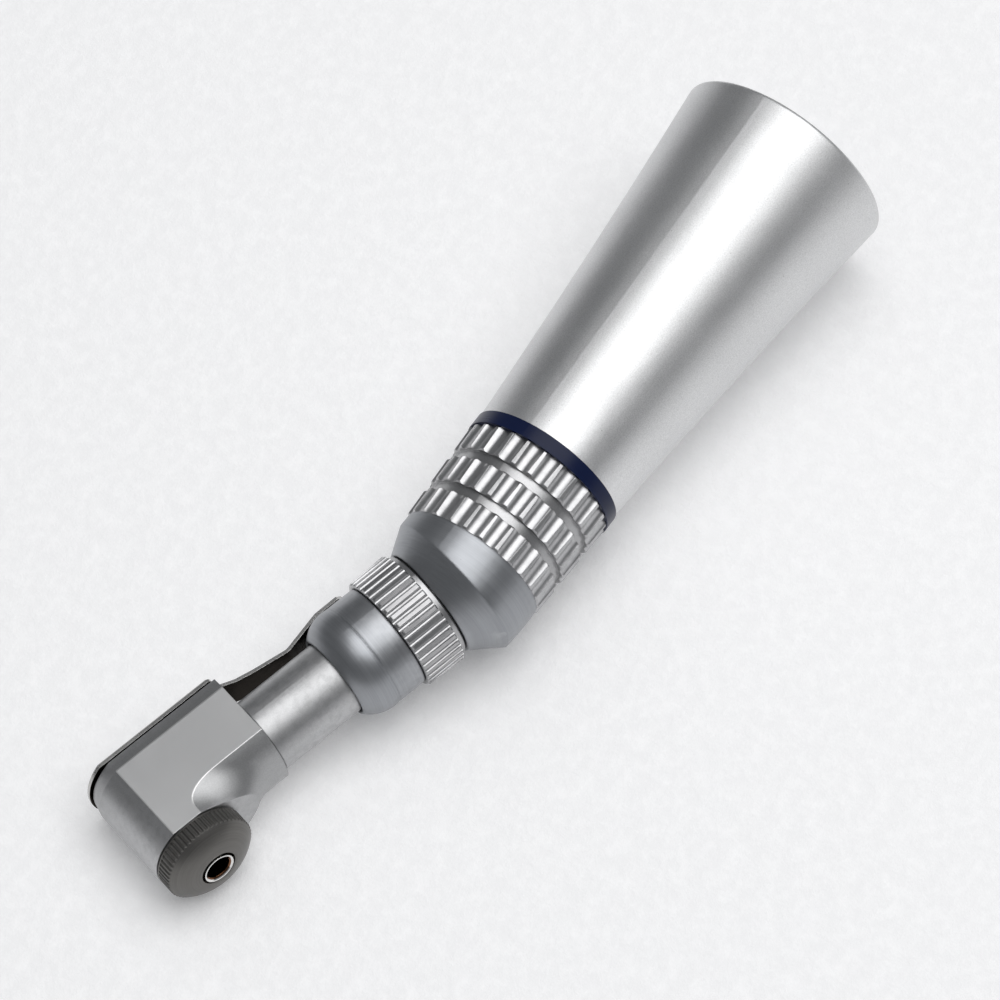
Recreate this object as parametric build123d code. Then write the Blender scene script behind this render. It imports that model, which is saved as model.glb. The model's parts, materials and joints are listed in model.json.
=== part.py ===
from build123d import *
import math
import os

# Contra angle dental handpiece, latch type, direct 1:1 drive. All sizes in millimetres.
# It is modelled in handpiece axes: the origin is the point where the sheath axis and the
# neck axis cross, +X runs back along the sheath, the bend lies in XY and +Z is the side of
# the head. The last section lays the finished handpiece on a table.

# ---------------------------------------------------------------- driving dimensions
BEND_ANGLE = 15.3          # between the sheath axis and the neck axis
NECK_REACH = 33.37         # from the bend to the bur axis, along the neck

# sheath and grip, stations along the sheath axis from the bend
DOME_REAR = 1.47
BAND_LENGTH = 2.72         # each of the three fluted bands
BAND_GROOVE = 0.93         # groove between two bands
RING_LENGTH = 1.36
RIM_STATION = 50.28
RIM_OVER_SOCKET = 3.2      # rim radius over the socket tube's
RIM_WALL = 1.2             # sheath wall at the rim
RIM_ROUNDING = 0.35
SHEATH_OVER_SOCKET = 0.15  # front radius over the socket tube's
SHEATH_WALL = 1.15         # over the collar's spigot
SHEATH_SAG = 0.19          # how far the flare arc hangs inside its chord
COLLAR_STEP = 0.05         # rear radius of the collar over the sheath's
COLLAR_TAPER = 0.33        # from the rear radius to the front one
GROOVE_DEPTH = 0.5
FLUTES = 26
FLUTE_RADIUS = 0.95
FLUTE_DEPTH = 0.36
BAND_CHAMFER = 0.14
RING_PROUD = 0.08
COLLAR_SPIGOT_LENGTH = 4.0
SEAL_WIRE = 0.9
SEAL_SQUEEZE = 0.8         # pressed height as a share of the wire
SEAL_OFFSET = 2.2

# coupling for the motor
SOCKET_RADIUS = 6.05
SOCKET_DEPTH = 24.0
SOCKET_WALL = 1.25
SOCKET_BULKHEAD = 2.3
SOCKET_FLANGE = 1.5
MOUTH_CHAMFER = 0.4
SNAP_RING_OFFSET = 3.8     # from the rim to the groove
SNAP_RING_WIRE = 0.5
SNAP_RING_GAP = 40.0       # opening of the ring, degrees
SNAP_GROOVE_DEPTH = 0.62
SNAP_GROOVE_WIDTH = 0.7

# bearing barrel
BARREL_RADIUS = 5.2
BARREL_FRONT = 2.6
BARREL_SHOULDER_RADIUS = 3.4
CIRCLIP_THICKNESS = 0.6
CIRCLIP_GROOVE_DEPTH = 0.35
CIRCLIP_REACH = 0.55       # how far a circlip stands into its bore
CIRCLIP_GAP = 50.0
DISC_SPRING_HEIGHT = 0.6
DISC_SPRING_THICKNESS = 0.25
DISC_SPRING_GAP = 0.1      # between the spring and the barrel's shoulder

# rear shaft bearings 4 x 8 x 3 and neck bearing 3 x 6 x 2.5
REAR_BEARING = {"bore": 2.0, "outer": 4.0, "width": 3.0, "ring": 0.65, "ball": 0.6, "balls": 9}
NECK_BEARING = {"bore": 1.5, "outer": 3.0, "width": 2.5, "ring": 0.48, "ball": 0.45, "balls": 9}
BALL_CLEARANCE = 0.03
CAGE_CLEARANCE = 0.06
CAGE_REACH = 1.3           # half width of a cage, in ball radii
REAR_BEARING_STATION = 3.2
SEAT_GAP = 0.4             # between the second bearing and the spring's seat

# shafts
DRIVE_NOSE_RADIUS = 1.6
DRIVE_BODY_RADIUS = 2.5
DRIVE_TAIL_RADIUS = 1.55
DRIVE_TAIL_FLAT = 1.2
TAIL_PAST_PIN = 0.5        # shaft left behind the cross pin
NECK_NOSE_RADIUS = 1.2
NECK_SHAFT_RADIUS = 1.3
NECK_SHOULDER_RADIUS = 1.9
NECK_SHOULDER_LENGTH = 3.4
NOSE_SETBACK = 0.6         # shaft ends stop short of the bend

# sprung clutch dog
DOG_TRAVEL = 2.0
DOG_RADIUS = 2.7
DOG_LENGTH = 6.2
DOG_CLEARANCE = 0.05
DOG_RECESS = 0.08          # the dog stands this far short of the socket's floor
DOG_SLOT_WIDTH = 1.8
DOG_SLOT_DEPTH = 1.8
CROSS_PIN_RADIUS = 0.4
CROSS_PIN_SETBACK = 1.3    # from the dog's front face
CROSS_PIN_LENGTH = 4.8
SPRING_SEAT_RADIUS = 2.45
SPRING_SEAT_THICKNESS = 0.5
SPRING_RADIUS = 2.1
SPRING_WIRE = 0.3
SPRING_TURNS = 4.5
SPRING_LENGTH = 4.1

# gears at the bend
BEND_TEETH = 12
BEND_GEAR_OUT = 3.4        # cone distances
BEND_GEAR_IN = 2.0
BEND_ADDENDUM = 0.4
BEND_DEDENDUM = 0.55
BEND_BACKLASH = 0.3
BEND_GEAR_BACK = 1.9

# gears in the head
HEAD_TEETH = 14
HEAD_GEAR_OUT = 3.55
HEAD_GEAR_WALL = 0.11      # left at the inner roots, over the chuck tube
HEAD_ADDENDUM = 0.3
HEAD_DEDENDUM = 0.42
HEAD_BACKLASH = 0.18
HEAD_GEAR_BACK = 3.0
PRESSURE_ANGLE = 20.0
TOOTH_SINK = 0.12          # how far a tooth is sunk into its gear
PINION_SHAFT_LAP = 0.4     # shaft inside the pinion

# bend housing
DOME_TAPER = 0.39
DOME_SWELL = 0.03
DOME_FRONT = -3.4
DOME_NOSE_TAPER = 0.48
DOME_NOSE = -8.0
NOSE_CONE_ANGLE = 33.5
NOSE_FACE = 3.75
NOSE_FACE_COVER = 0.09     # nose radius over the nut's flange
NOSE_CONE_REACH = 16.0     # far enough to pass the dome's rear
GEAR_CHAMBER_RADIUS = 4.3
GEAR_CHAMBER_START = -1.5  # on either axis
SHOULDER_GAP = 0.09        # axial play at each end of the nut

# neck
NECK_CORE_REAR = 2.2
NECK_CORE_WALL = 0.7       # round the head's tube
NECK_CORE_STEP = 0.3       # at its rear end
NECK_BEARING_STATION = 3.1
NECK_BEARING_SHOULDER = 2.5
NUT_LENGTH = 4.58
NUT_FLANGE_LENGTH = 0.58
NUT_FLANGE_WALL = 0.96
NUT_WALL = 1.45
NUT_TAPER = 0.1
NUT_ROUNDING = 0.35
NUT_RIBS = 43
NUT_GROOVE_RADIUS = 0.25
NUT_CLEARANCE = 0.05
SLEEVE_LENGTH = 6.0
SLEEVE_WALL = 0.85
SLEEVE_STRAIGHT = 2.75
SLEEVE_FRONT_WALL = 0.45   # over the head's tube
SLEEVE_DOME_DROP = 0.33    # middle of the dome's arc, below the straight part
SLEEVE_DOME_SETBACK = 1.05 # and behind the front end
SLEEVE_EDGE = 0.05
SLEEVE_LINE = 0.07         # depth of the fine line round the sleeve
SLEEVE_LIP = 1.7
TUBE_PLUG_LENGTH = 3.3     # how far the head tube enters the neck
LOCATING_PIN_RADIUS = 0.5
LOCATING_PIN_FLOOR = 0.25  # wall left under the pin in the head's tube
SHADOW_GAP = 0.25

# head
TUBE_RADIUS = 3.6
TUBE_WALL = 1.0
BLOCK_LENGTH = 10.37       # from the bur axis back to the rear face
BLOCK_SIDE_COVER = 0.65    # half width of the block over the tube's radius
BLOCK_FRONT_COVER = 0.25   # radius of its round front over the half width
BLOCK_BACK = 5.17          # latch side face, from the neck axis
BLOCK_FACE = 4.7           # cap side face, from the neck axis
BLOCK_SIDE_LOW = 1.95      # where the side flats end
BLOCK_BELLY_COVER = 0.3    # lowest line of the round underside, over the tube's radius
BACK_BEVEL = 0.3           # of the latch side edges, across
BACK_BEVEL_DEPTH = 1.35    # and along the bur axis
WEB_FILLET = 5.0
PINION_CHAMBER_RADIUS = 3.1
TUBE_LINE = 0.08
FRONT_BUSH_LENGTH = 4.0
FRONT_BUSH_SETBACK = 8.97  # from the bur axis
BUSH_CLEARANCE = 0.03

# chuck and cap
CHUCK_BORE = 1.18          # for a latch type bur with a 2.35 shank
CHUCK_RADIUS = 1.51
CHUCK_FRONT = 7.79
CHUCK_MOUTH_CHAMFER = 0.2
CHUCK_BUSH_WALL = 0.79
CHUCK_REAR_BUSH_LENGTH = 1.47
CAP_STEP = 0.05            # cap radius short of the head's
CAP_REAR = 4.73
CAP_KNURL_END = 6.35
CAP_FACE = 7.7
CAP_FACE_RIM = 0.25
CAP_SHOULDER = 0.12
CAP_BULGE = 0.28           # of the domed front
CAP_HOLE_GAP = 0.24        # round the chuck tube
CAP_SPIGOT_LENGTH = 1.6
CAP_BUSH_LENGTH = 2.7
CAP_BUSH_COVER = 1.1       # from the bush's front face to the cap's face
CAP_KNURLS = 60
CAP_KNURL_RADIUS = 0.17
CAP_KNURL_SHY = 0.05       # centre of each groove, outside the rim
CAP_SPIGOT_WALL = 0.7
CAP_BORE_GAP = 0.5         # round the chuck tube's collar
CHUCK_COLLAR_STEP = 0.59
CHUCK_COLLAR_LENGTH = 0.6
THRUST_WASHER_THICKNESS = 0.4
END_PLAY = 0.05

# latch
LATCH_GAP = 0.28
LATCH_THICKNESS = 0.5
LATCH_SIDE_STEP = 0.5      # plate short of the block's half width
LATCH_FRONT_STEP = 0.1     # and of its round front
LATCH_LENGTH = 10.17       # from the bur axis
LATCH_EDGE = 0.18
TAIL_THICKNESS = 0.34
TAIL_ROOT_HALF_WIDTH = 1.7
TAIL_HALF_WIDTH = 1.35
TAIL_END = 9.2
TAIL_TAPER_LENGTH = 3.7
TAIL_CORNER = 0.5
TAIL_BEND_RADIUS = 1.1
TAIL_LAP = 1.2             # tail inside the plate
TAIL_ROOT = 0.2            # straight part behind the plate
TAIL_STEP_LENGTH = 1.9     # first step down ends here, behind the plate
TAIL_STEP = 0.6
TAIL_DIP_AHEAD = 1.6       # lowest place, ahead of the sleeve
TAIL_DIP_GAP = 0.95        # and over the tube
TAIL_RISE = 2.4            # length of the slope over the sleeve's dome
TAIL_SLEEVE_GAP = 0.12
TAIL_LIFT = 0.04
PIVOT_SETBACK = 7.17       # from the bur axis
PIVOT_RADIUS = 0.8
PIVOT_HEAD_RADIUS = 1.5
PIVOT_HEAD_HEIGHT = 0.4
PIVOT_LENGTH = 2.6
PIVOT_CLEARANCE = 0.04
PIVOT_WASHER_RADIUS = 1.35
PIVOT_SLOT_WIDTH = 0.35
TONGUE_THICKNESS = 0.2
TONGUE_HALF_WIDTH = 1.6
TONGUE_FRONT = 1.2         # past the bur axis
TONGUE_REAR = 3.8
TONGUE_NOTCH = 0.75
RIVET_SETBACK = 2.7
RIVET_RADIUS = 0.45
RIVET_HEAD_RADIUS = 0.75
RIVET_HEAD_HEIGHT = 0.2
CUT_PAST = 1.0             # how far a cutter runs past what it cuts

# ---------------------------------------------------------------- derived places
BAND_PITCH = BAND_LENGTH + BAND_GROOVE
COLLAR_REAR = DOME_REAR + 3 * BAND_LENGTH + 2 * BAND_GROOVE
SHEATH_FRONT = COLLAR_REAR + RING_LENGTH
SOCKET_FLOOR = RIM_STATION - SOCKET_DEPTH
SOCKET_FRONT = SOCKET_FLOOR - SOCKET_BULKHEAD
SOCKET_OUTER = SOCKET_RADIUS + SOCKET_WALL
RIM_RADIUS = SOCKET_OUTER + RIM_OVER_SOCKET
FLANGE_RADIUS = RIM_RADIUS - RIM_WALL
SHEATH_FRONT_RADIUS = SOCKET_OUTER + SHEATH_OVER_SOCKET
COLLAR_REAR_RADIUS = SHEATH_FRONT_RADIUS + COLLAR_STEP
COLLAR_FRONT_RADIUS = COLLAR_REAR_RADIUS - COLLAR_TAPER
COLLAR_SPIGOT_RADIUS = SHEATH_FRONT_RADIUS - SHEATH_WALL
SEAL_DEPTH = SEAL_WIRE * SEAL_SQUEEZE
DOME_FRONT_RADIUS = COLLAR_FRONT_RADIUS - DOME_TAPER
DOME_NOSE_RADIUS = DOME_FRONT_RADIUS - DOME_NOSE_TAPER
DOG_STATION = SOCKET_FLOOR - DOG_RECESS - DOG_LENGTH
CROSS_PIN_STATION = DOG_STATION + CROSS_PIN_SETBACK
SPRING_STATION = DOG_STATION - SPRING_LENGTH
SPRING_SEAT_STATION = SPRING_STATION - SPRING_SEAT_THICKNESS
REAR_BEARING_END = SPRING_SEAT_STATION - SEAT_GAP
SECOND_BEARING_STATION = REAR_BEARING_END - REAR_BEARING["width"]
NECK_CORE_RADIUS = TUBE_RADIUS + NECK_CORE_WALL
NECK_CORE_REAR_RADIUS = NECK_CORE_RADIUS + NECK_CORE_STEP
NUT_FLANGE_RADIUS = NECK_CORE_RADIUS + NUT_FLANGE_WALL
NUT_REAR_RADIUS = NECK_CORE_RADIUS + NUT_WALL
NUT_FRONT_RADIUS = NUT_REAR_RADIUS - NUT_TAPER
NOSE_FACE_RADIUS = NUT_FLANGE_RADIUS + NOSE_FACE_COVER
SLEEVE_RADIUS = NECK_CORE_RADIUS + SLEEVE_WALL
SLEEVE_FRONT_RADIUS = TUBE_RADIUS + SLEEVE_FRONT_WALL
NECK_BEARING_END = NECK_BEARING_STATION + NECK_BEARING["width"]
SLEEVE_REAR = NOSE_FACE + SHOULDER_GAP + NUT_LENGTH + SHOULDER_GAP
SLEEVE_FRONT = SLEEVE_REAR + SLEEVE_LENGTH
CORE_FRONT = SLEEVE_FRONT - SLEEVE_LIP
TUBE_END = CORE_FRONT - TUBE_PLUG_LENGTH
TUBE_BORE = TUBE_RADIUS - TUBE_WALL
BLOCK_REAR = NECK_REACH - BLOCK_LENGTH
BLOCK_HALF_WIDTH = TUBE_RADIUS + BLOCK_SIDE_COVER
BLOCK_RADIUS = BLOCK_HALF_WIDTH + BLOCK_FRONT_COVER
BLOCK_BELLY = TUBE_RADIUS + BLOCK_BELLY_COVER
LATCH_REAR = NECK_REACH - LATCH_LENGTH
LATCH_HALF_WIDTH = BLOCK_HALF_WIDTH - LATCH_SIDE_STEP
LATCH_FRONT_RADIUS = BLOCK_RADIUS - LATCH_FRONT_STEP
LATCH_UNDER = BLOCK_BACK + LATCH_GAP
LATCH_TOP = LATCH_UNDER + LATCH_THICKNESS
PIVOT_END = PIVOT_LENGTH - LATCH_TOP
CAP_RADIUS = BLOCK_RADIUS - CAP_STEP
CAP_HOLE = CHUCK_RADIUS + CAP_HOLE_GAP
CAP_FACE_RADIUS = CAP_HOLE + CAP_FACE_RIM
CHUCK_COLLAR_RADIUS = CHUCK_RADIUS + CHUCK_COLLAR_STEP
CHUCK_BUSH_RADIUS = CHUCK_RADIUS + CHUCK_BUSH_WALL
CAP_BORE = CHUCK_COLLAR_RADIUS + CAP_BORE_GAP
HEAD_CHAMBER_RADIUS = CAP_BORE + CAP_SPIGOT_WALL
HEAD_ROOT_SHARE = 1 - HEAD_DEDENDUM / HEAD_GEAR_OUT
HEAD_GEAR_IN = (CHUCK_RADIUS + HEAD_GEAR_WALL) * math.sqrt(2) / HEAD_ROOT_SHARE
CAP_BUSH_FRONT = CAP_FACE - CAP_BUSH_COVER
CAP_BUSH_REAR = CAP_BUSH_FRONT - CAP_BUSH_LENGTH
CHUCK_BUSH_INNER = BLOCK_BACK - CHUCK_REAR_BUSH_LENGTH
FRONT_BUSH_STATION = NECK_REACH - FRONT_BUSH_SETBACK
FRONT_BUSH_END = FRONT_BUSH_STATION + FRONT_BUSH_LENGTH

BEND = math.radians(BEND_ANGLE)
NECK_DIRECTION = Vector(-math.cos(BEND), math.sin(BEND), 0)
BUR_DIRECTION = Vector(-math.sin(BEND), -math.cos(BEND), 0)
SIDE = Vector(0, 0, 1)
SHEATH = Plane(origin=(0, 0, 0), x_dir=SIDE, z_dir=(1, 0, 0))
NECK = Plane(origin=(0, 0, 0), x_dir=SIDE, z_dir=NECK_DIRECTION)
# head frame: x to the side, y forward along the neck, z along the bur towards its tip
HEAD = Plane(origin=NECK_DIRECTION * NECK_REACH, x_dir=SIDE, z_dir=BUR_DIRECTION)


# ---------------------------------------------------------------- shape helpers
def lathe(*edges):
    """Turned solid from the edges of a half section, each point given as (radius, station)."""
    return revolve(Plane.XZ * make_face(Curve() + list(edges)), Axis.Z, 360)


def turned(*points):
    """Turned solid from a half section with straight sides."""
    return lathe(Polyline(*points, close=True))


def tube(inner, outer, start, end):
    """Plain tube between two stations."""
    return turned((inner, start), (outer, start), (outer, end), (inner, end))


def rod(radius, start, end):
    """Plain round bar between two stations."""
    return Pos(0, 0, start) * Cylinder(radius, end - start, align=(Align.CENTER, Align.CENTER, Align.MIN))


def block(width, depth, start, end):
    """Square bar centred on the axis between two stations."""
    return Pos(0, 0, start) * Box(width, depth, end - start, align=(Align.CENTER, Align.CENTER, Align.MIN))


def around(shape, count, offset=0.0):
    """Copies of a shape spaced evenly round the local Z axis."""
    return [Rot(0, 0, offset + index * 360 / count) * shape for index in range(count)]


def split_ring(ring, radius, gap):
    """Ring with an opening of the given angle, centred on local +Y."""
    half = math.radians(gap / 2)
    reach = 2 * radius
    wedge = Polyline(
        (0, 0),
        (reach * math.sin(half), reach * math.cos(half)),
        (-reach * math.sin(half), reach * math.cos(half)),
        close=True,
    )
    box = ring.bounding_box()
    cutter = Pos(0, 0, box.min.Z - CUT_PAST) * extrude(make_face(wedge), box.size.Z + 2 * CUT_PAST)
    return ring - cutter


def tooth_section(distance, outer_distance, half_angle, half_width, addendum, dedendum):
    """Trapezium of one bevel tooth at a cone distance, shrinking towards the apex."""
    scale = distance / outer_distance
    along = Vector(math.sin(half_angle), 0, math.cos(half_angle))
    out = Vector(math.cos(half_angle), 0, -math.sin(half_angle))
    slope = math.tan(math.radians(PRESSURE_ANGLE))
    corners = []
    for height, side in ((-dedendum, 1), (addendum, 1), (addendum, -1), (-dedendum, -1)):
        width = side * scale * (half_width - height * slope)
        corners.append(along * distance + out * (height * scale) + Vector(0, width, 0))
    return make_face(Polyline(*corners, close=True))


def bevel_gear(teeth, half_angle, outer, inner, addendum, dedendum, backlash, back, hub, bore, phase):
    """Bevel gear with its apex at the origin and its body along +Z. The hub is (radius, end)."""
    delta = math.radians(half_angle)
    half_width = math.pi * outer * math.sin(delta) / (2 * teeth) - backlash / 4
    profile = (delta, half_width, addendum, dedendum + TOOTH_SINK)
    tooth = loft([tooth_section(outer, outer, *profile), tooth_section(inner, outer, *profile)], ruled=True)
    roots = []
    for distance in (inner, outer):
        depth = dedendum * distance / outer
        radius = distance * math.sin(delta) - depth * math.cos(delta)
        station = distance * math.cos(delta) + depth * math.sin(delta)
        roots.append((radius, station))
    hub_radius, hub_end = hub
    body = turned(
        (bore, roots[0][1]),
        roots[0],
        roots[1],
        (roots[1][0], back),
        (hub_radius, back),
        (hub_radius, hub_end),
        (bore, hub_end),
    )
    return body + around(tooth, teeth, phase)


def ball_bearing(name, frame, station, size):
    """Four nodes of one ball bearing: outer ring, inner ring, balls and cage."""
    pitch = (size["bore"] + size["outer"]) / 2
    middle = station + size["width"] / 2
    end = station + size["width"]
    race = Pos(0, 0, middle) * Torus(pitch, size["ball"] + BALL_CLEARANCE)
    inner_edge = size["bore"] + size["ring"]
    outer_edge = size["outer"] - size["ring"]
    ball = Pos(pitch, 0, middle) * Sphere(size["ball"])
    pocket = Pos(pitch, 0, middle) * Rot(0, 90, 0) * Cylinder(size["ball"] + BALL_CLEARANCE, size["width"])
    reach = size["ball"] * CAGE_REACH
    cage = tube(inner_edge + CAGE_CLEARANCE, outer_edge - CAGE_CLEARANCE, middle - reach, middle + reach)
    node(name + "_outer_ring", frame, tube(outer_edge, size["outer"], station, end) - race)
    node(name + "_inner_ring", frame, tube(size["bore"], inner_edge, station, end) - race)
    node(name + "_balls", frame, Compound(around(ball, size["balls"])))
    node(name + "_cage", frame, cage - around(pocket, size["balls"]))


nodes = {}


def node(name, frame, shape):
    """Keep one finished piece under its name, in handpiece axes."""
    nodes[name] = frame * shape


# ---------------------------------------------------------------- sheath, ring and collar
def outer_sheath():
    """Flared shell that the hand holds, open at both ends."""
    rim_start = RIM_STATION - RIM_ROUNDING
    middle = ((SHEATH_FRONT_RADIUS + RIM_RADIUS) / 2 - SHEATH_SAG, (SHEATH_FRONT + rim_start) / 2)
    flare = ThreePointArc((SHEATH_FRONT_RADIUS, SHEATH_FRONT), middle, (RIM_RADIUS, rim_start))
    rim_inner = RIM_RADIUS - RIM_ROUNDING
    rim_edge = ThreePointArc(
        flare @ 1,
        (rim_inner + RIM_ROUNDING * math.sin(math.pi / 4), rim_start + RIM_ROUNDING * math.sin(math.pi / 4)),
        (rim_inner, RIM_STATION),
    )
    inside = Polyline(
        rim_edge @ 1,
        (FLANGE_RADIUS, RIM_STATION),
        (FLANGE_RADIUS, RIM_STATION - SOCKET_FLANGE),
        (SOCKET_OUTER, RIM_STATION - SOCKET_FLANGE),
        (SOCKET_OUTER, SOCKET_FRONT),
        (COLLAR_SPIGOT_RADIUS, SOCKET_FRONT),
        (COLLAR_SPIGOT_RADIUS, SHEATH_FRONT),
        flare @ 0,
    )
    return lathe(flare, rim_edge, inside)


def collar_radius(station):
    """Outer radius of the tapered grip collar at a station."""
    share = (station - DOME_REAR) / (COLLAR_REAR - DOME_REAR)
    return COLLAR_FRONT_RADIUS + share * (COLLAR_REAR_RADIUS - COLLAR_FRONT_RADIUS)


def grip_collar():
    """Collar with three fluted bands and a rear spigot that carries the ring and the sheath."""
    points = [(BARREL_RADIUS, DOME_REAR)]
    for index in range(3):
        start = DOME_REAR + index * BAND_PITCH
        end = start + BAND_LENGTH
        points += [
            (collar_radius(start) - BAND_CHAMFER, start),
            (collar_radius(start), start + BAND_CHAMFER),
            (collar_radius(end), end - BAND_CHAMFER),
            (collar_radius(end) - BAND_CHAMFER, end),
        ]
        if index < 2:
            points += [
                (collar_radius(end) - GROOVE_DEPTH, end),
                (collar_radius(end) - GROOVE_DEPTH, end + BAND_GROOVE),
            ]
    seal = SHEATH_FRONT + SEAL_OFFSET
    spigot_end = SHEATH_FRONT + COLLAR_SPIGOT_LENGTH
    seal_floor = COLLAR_SPIGOT_RADIUS - SEAL_DEPTH
    points += [
        (COLLAR_SPIGOT_RADIUS, COLLAR_REAR),
        (COLLAR_SPIGOT_RADIUS, seal - SEAL_WIRE / 2),
        (seal_floor, seal - SEAL_WIRE / 2),
        (seal_floor, seal + SEAL_WIRE / 2),
        (COLLAR_SPIGOT_RADIUS, seal + SEAL_WIRE / 2),
        (COLLAR_SPIGOT_RADIUS, spigot_end),
        (BARREL_RADIUS, spigot_end),
    ]
    collar = turned(*points)
    flutes = []
    for index in range(3):
        start = DOME_REAR + index * BAND_PITCH
        radius = collar_radius(start + BAND_LENGTH / 2)
        cutter = rod(FLUTE_RADIUS, start, start + BAND_LENGTH)
        cutter = Pos(radius + FLUTE_RADIUS - FLUTE_DEPTH, 0, 0) * cutter
        flutes += around(cutter, FLUTES)
    return collar - flutes


def sheath_seal():
    """Flattened seal ring in the groove of the collar's spigot."""
    seal = SHEATH_FRONT + SEAL_OFFSET
    floor = COLLAR_SPIGOT_RADIUS - SEAL_DEPTH
    return tube(floor, COLLAR_SPIGOT_RADIUS, seal - SEAL_WIRE / 2, seal + SEAL_WIRE / 2)


def colour_ring():
    """Plain ring that shows the 1:1 ratio, between the collar and the sheath."""
    outer = COLLAR_REAR_RADIUS + RING_PROUD
    return tube(COLLAR_SPIGOT_RADIUS, outer, COLLAR_REAR, SHEATH_FRONT)


# ---------------------------------------------------------------- motor socket
def motor_socket():
    """Socket tube for the motor's spigot, with a flange at the rim and a front bulkhead."""
    groove_end = RIM_STATION - SNAP_RING_OFFSET
    groove_start = groove_end - SNAP_GROOVE_WIDTH
    groove = SOCKET_RADIUS + SNAP_GROOVE_DEPTH
    return turned(
        (BARREL_RADIUS, SOCKET_FRONT),
        (SOCKET_OUTER, SOCKET_FRONT),
        (SOCKET_OUTER, RIM_STATION - SOCKET_FLANGE),
        (FLANGE_RADIUS, RIM_STATION - SOCKET_FLANGE),
        (FLANGE_RADIUS, RIM_STATION),
        (SOCKET_RADIUS + MOUTH_CHAMFER, RIM_STATION),
        (SOCKET_RADIUS, RIM_STATION - MOUTH_CHAMFER),
        (SOCKET_RADIUS, groove_end),
        (groove, groove_end),
        (groove, groove_start),
        (SOCKET_RADIUS, groove_start),
        (SOCKET_RADIUS, SOCKET_FLOOR),
        (BARREL_RADIUS, SOCKET_FLOOR),
    )


def snap_ring():
    """Split wire ring in the socket's groove that holds the motor's spigot."""
    station = RIM_STATION - SNAP_RING_OFFSET - SNAP_GROOVE_WIDTH / 2
    radius = SOCKET_RADIUS + SNAP_GROOVE_DEPTH - SNAP_RING_WIRE / 2
    ring = Pos(0, 0, station) * Torus(radius, SNAP_RING_WIRE / 2)
    return split_ring(ring, radius, SNAP_RING_GAP)


# ---------------------------------------------------------------- barrel and rear bearings
def bearing_barrel():
    """Inner barrel that carries the drive shaft's two bearings."""
    seat = REAR_BEARING["outer"]
    front_end = REAR_BEARING_STATION + REAR_BEARING["width"]
    rear_start = SECOND_BEARING_STATION - DISC_SPRING_HEIGHT
    clip = REAR_BEARING_END
    groove = seat + CIRCLIP_GROOVE_DEPTH
    return turned(
        (seat, BARREL_FRONT),
        (BARREL_RADIUS, BARREL_FRONT),
        (BARREL_RADIUS, SOCKET_FLOOR),
        (seat, SOCKET_FLOOR),
        (seat, clip + CIRCLIP_THICKNESS),
        (groove, clip + CIRCLIP_THICKNESS),
        (groove, clip),
        (seat, clip),
        (seat, rear_start),
        (BARREL_SHOULDER_RADIUS, rear_start),
        (BARREL_SHOULDER_RADIUS, front_end),
        (seat, front_end),
    )


def circlip(bore, station):
    """Internal circlip in a groove of the given bore, starting at a station."""
    outer = bore + CIRCLIP_GROOVE_DEPTH
    ring = tube(bore - CIRCLIP_REACH, outer, station, station + CIRCLIP_THICKNESS)
    return split_ring(ring, outer, CIRCLIP_GAP)


def disc_spring():
    """Shallow conical spring that preloads the rear bearing."""
    inner = BARREL_SHOULDER_RADIUS + DISC_SPRING_GAP
    outer = REAR_BEARING["outer"]
    end = SECOND_BEARING_STATION
    start = end - DISC_SPRING_HEIGHT
    return turned(
        (inner, start),
        (outer, end - DISC_SPRING_THICKNESS),
        (outer, end),
        (inner, start + DISC_SPRING_THICKNESS),
    )


# ---------------------------------------------------------------- drive shaft and clutch
def drive_shaft():
    """Rear shaft: gear seat, two bearing seats and a tail with two flats for the clutch dog."""
    seat = REAR_BEARING["bore"]
    front_end = REAR_BEARING_STATION + REAR_BEARING["width"]
    end = CROSS_PIN_STATION + CROSS_PIN_RADIUS + TAIL_PAST_PIN
    shaft = turned(
        (0, NOSE_SETBACK),
        (DRIVE_NOSE_RADIUS, NOSE_SETBACK),
        (DRIVE_NOSE_RADIUS, REAR_BEARING_STATION),
        (seat, REAR_BEARING_STATION),
        (seat, front_end),
        (DRIVE_BODY_RADIUS, front_end),
        (DRIVE_BODY_RADIUS, SECOND_BEARING_STATION),
        (seat, SECOND_BEARING_STATION),
        (seat, SPRING_SEAT_STATION),
        (DRIVE_TAIL_RADIUS, SPRING_SEAT_STATION),
        (DRIVE_TAIL_RADIUS, end),
        (0, end),
    )
    flat_start = SPRING_STATION
    wide = 2 * DRIVE_TAIL_RADIUS + CUT_PAST
    flats = block(wide, wide, flat_start, end) - block(2 * DRIVE_TAIL_FLAT, wide, flat_start, end)
    return shaft - flats - cross_pin()


def cross_pin():
    """Pin through the shaft's tail that keeps the clutch dog on."""
    centred = Rot(0, 90, 0) * Cylinder(CROSS_PIN_RADIUS, CROSS_PIN_LENGTH)
    return Pos(0, 0, CROSS_PIN_STATION) * centred


def spring_seat():
    """Washer behind the rear bearing that the clutch spring pushes against."""
    return tube(DRIVE_TAIL_RADIUS, SPRING_SEAT_RADIUS, SPRING_SEAT_STATION, SPRING_STATION)


def clutch_spring():
    """Compression spring between the seat and the clutch dog."""
    height = SPRING_LENGTH - SPRING_WIRE
    path = Helix(pitch=height / SPRING_TURNS, height=height, radius=SPRING_RADIUS)
    wire = Plane(origin=path @ 0, z_dir=path % 0) * Circle(SPRING_WIRE / 2)
    return Pos(0, 0, SPRING_STATION + SPRING_WIRE / 2) * sweep(wire, path=path, is_frenet=True)


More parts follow.
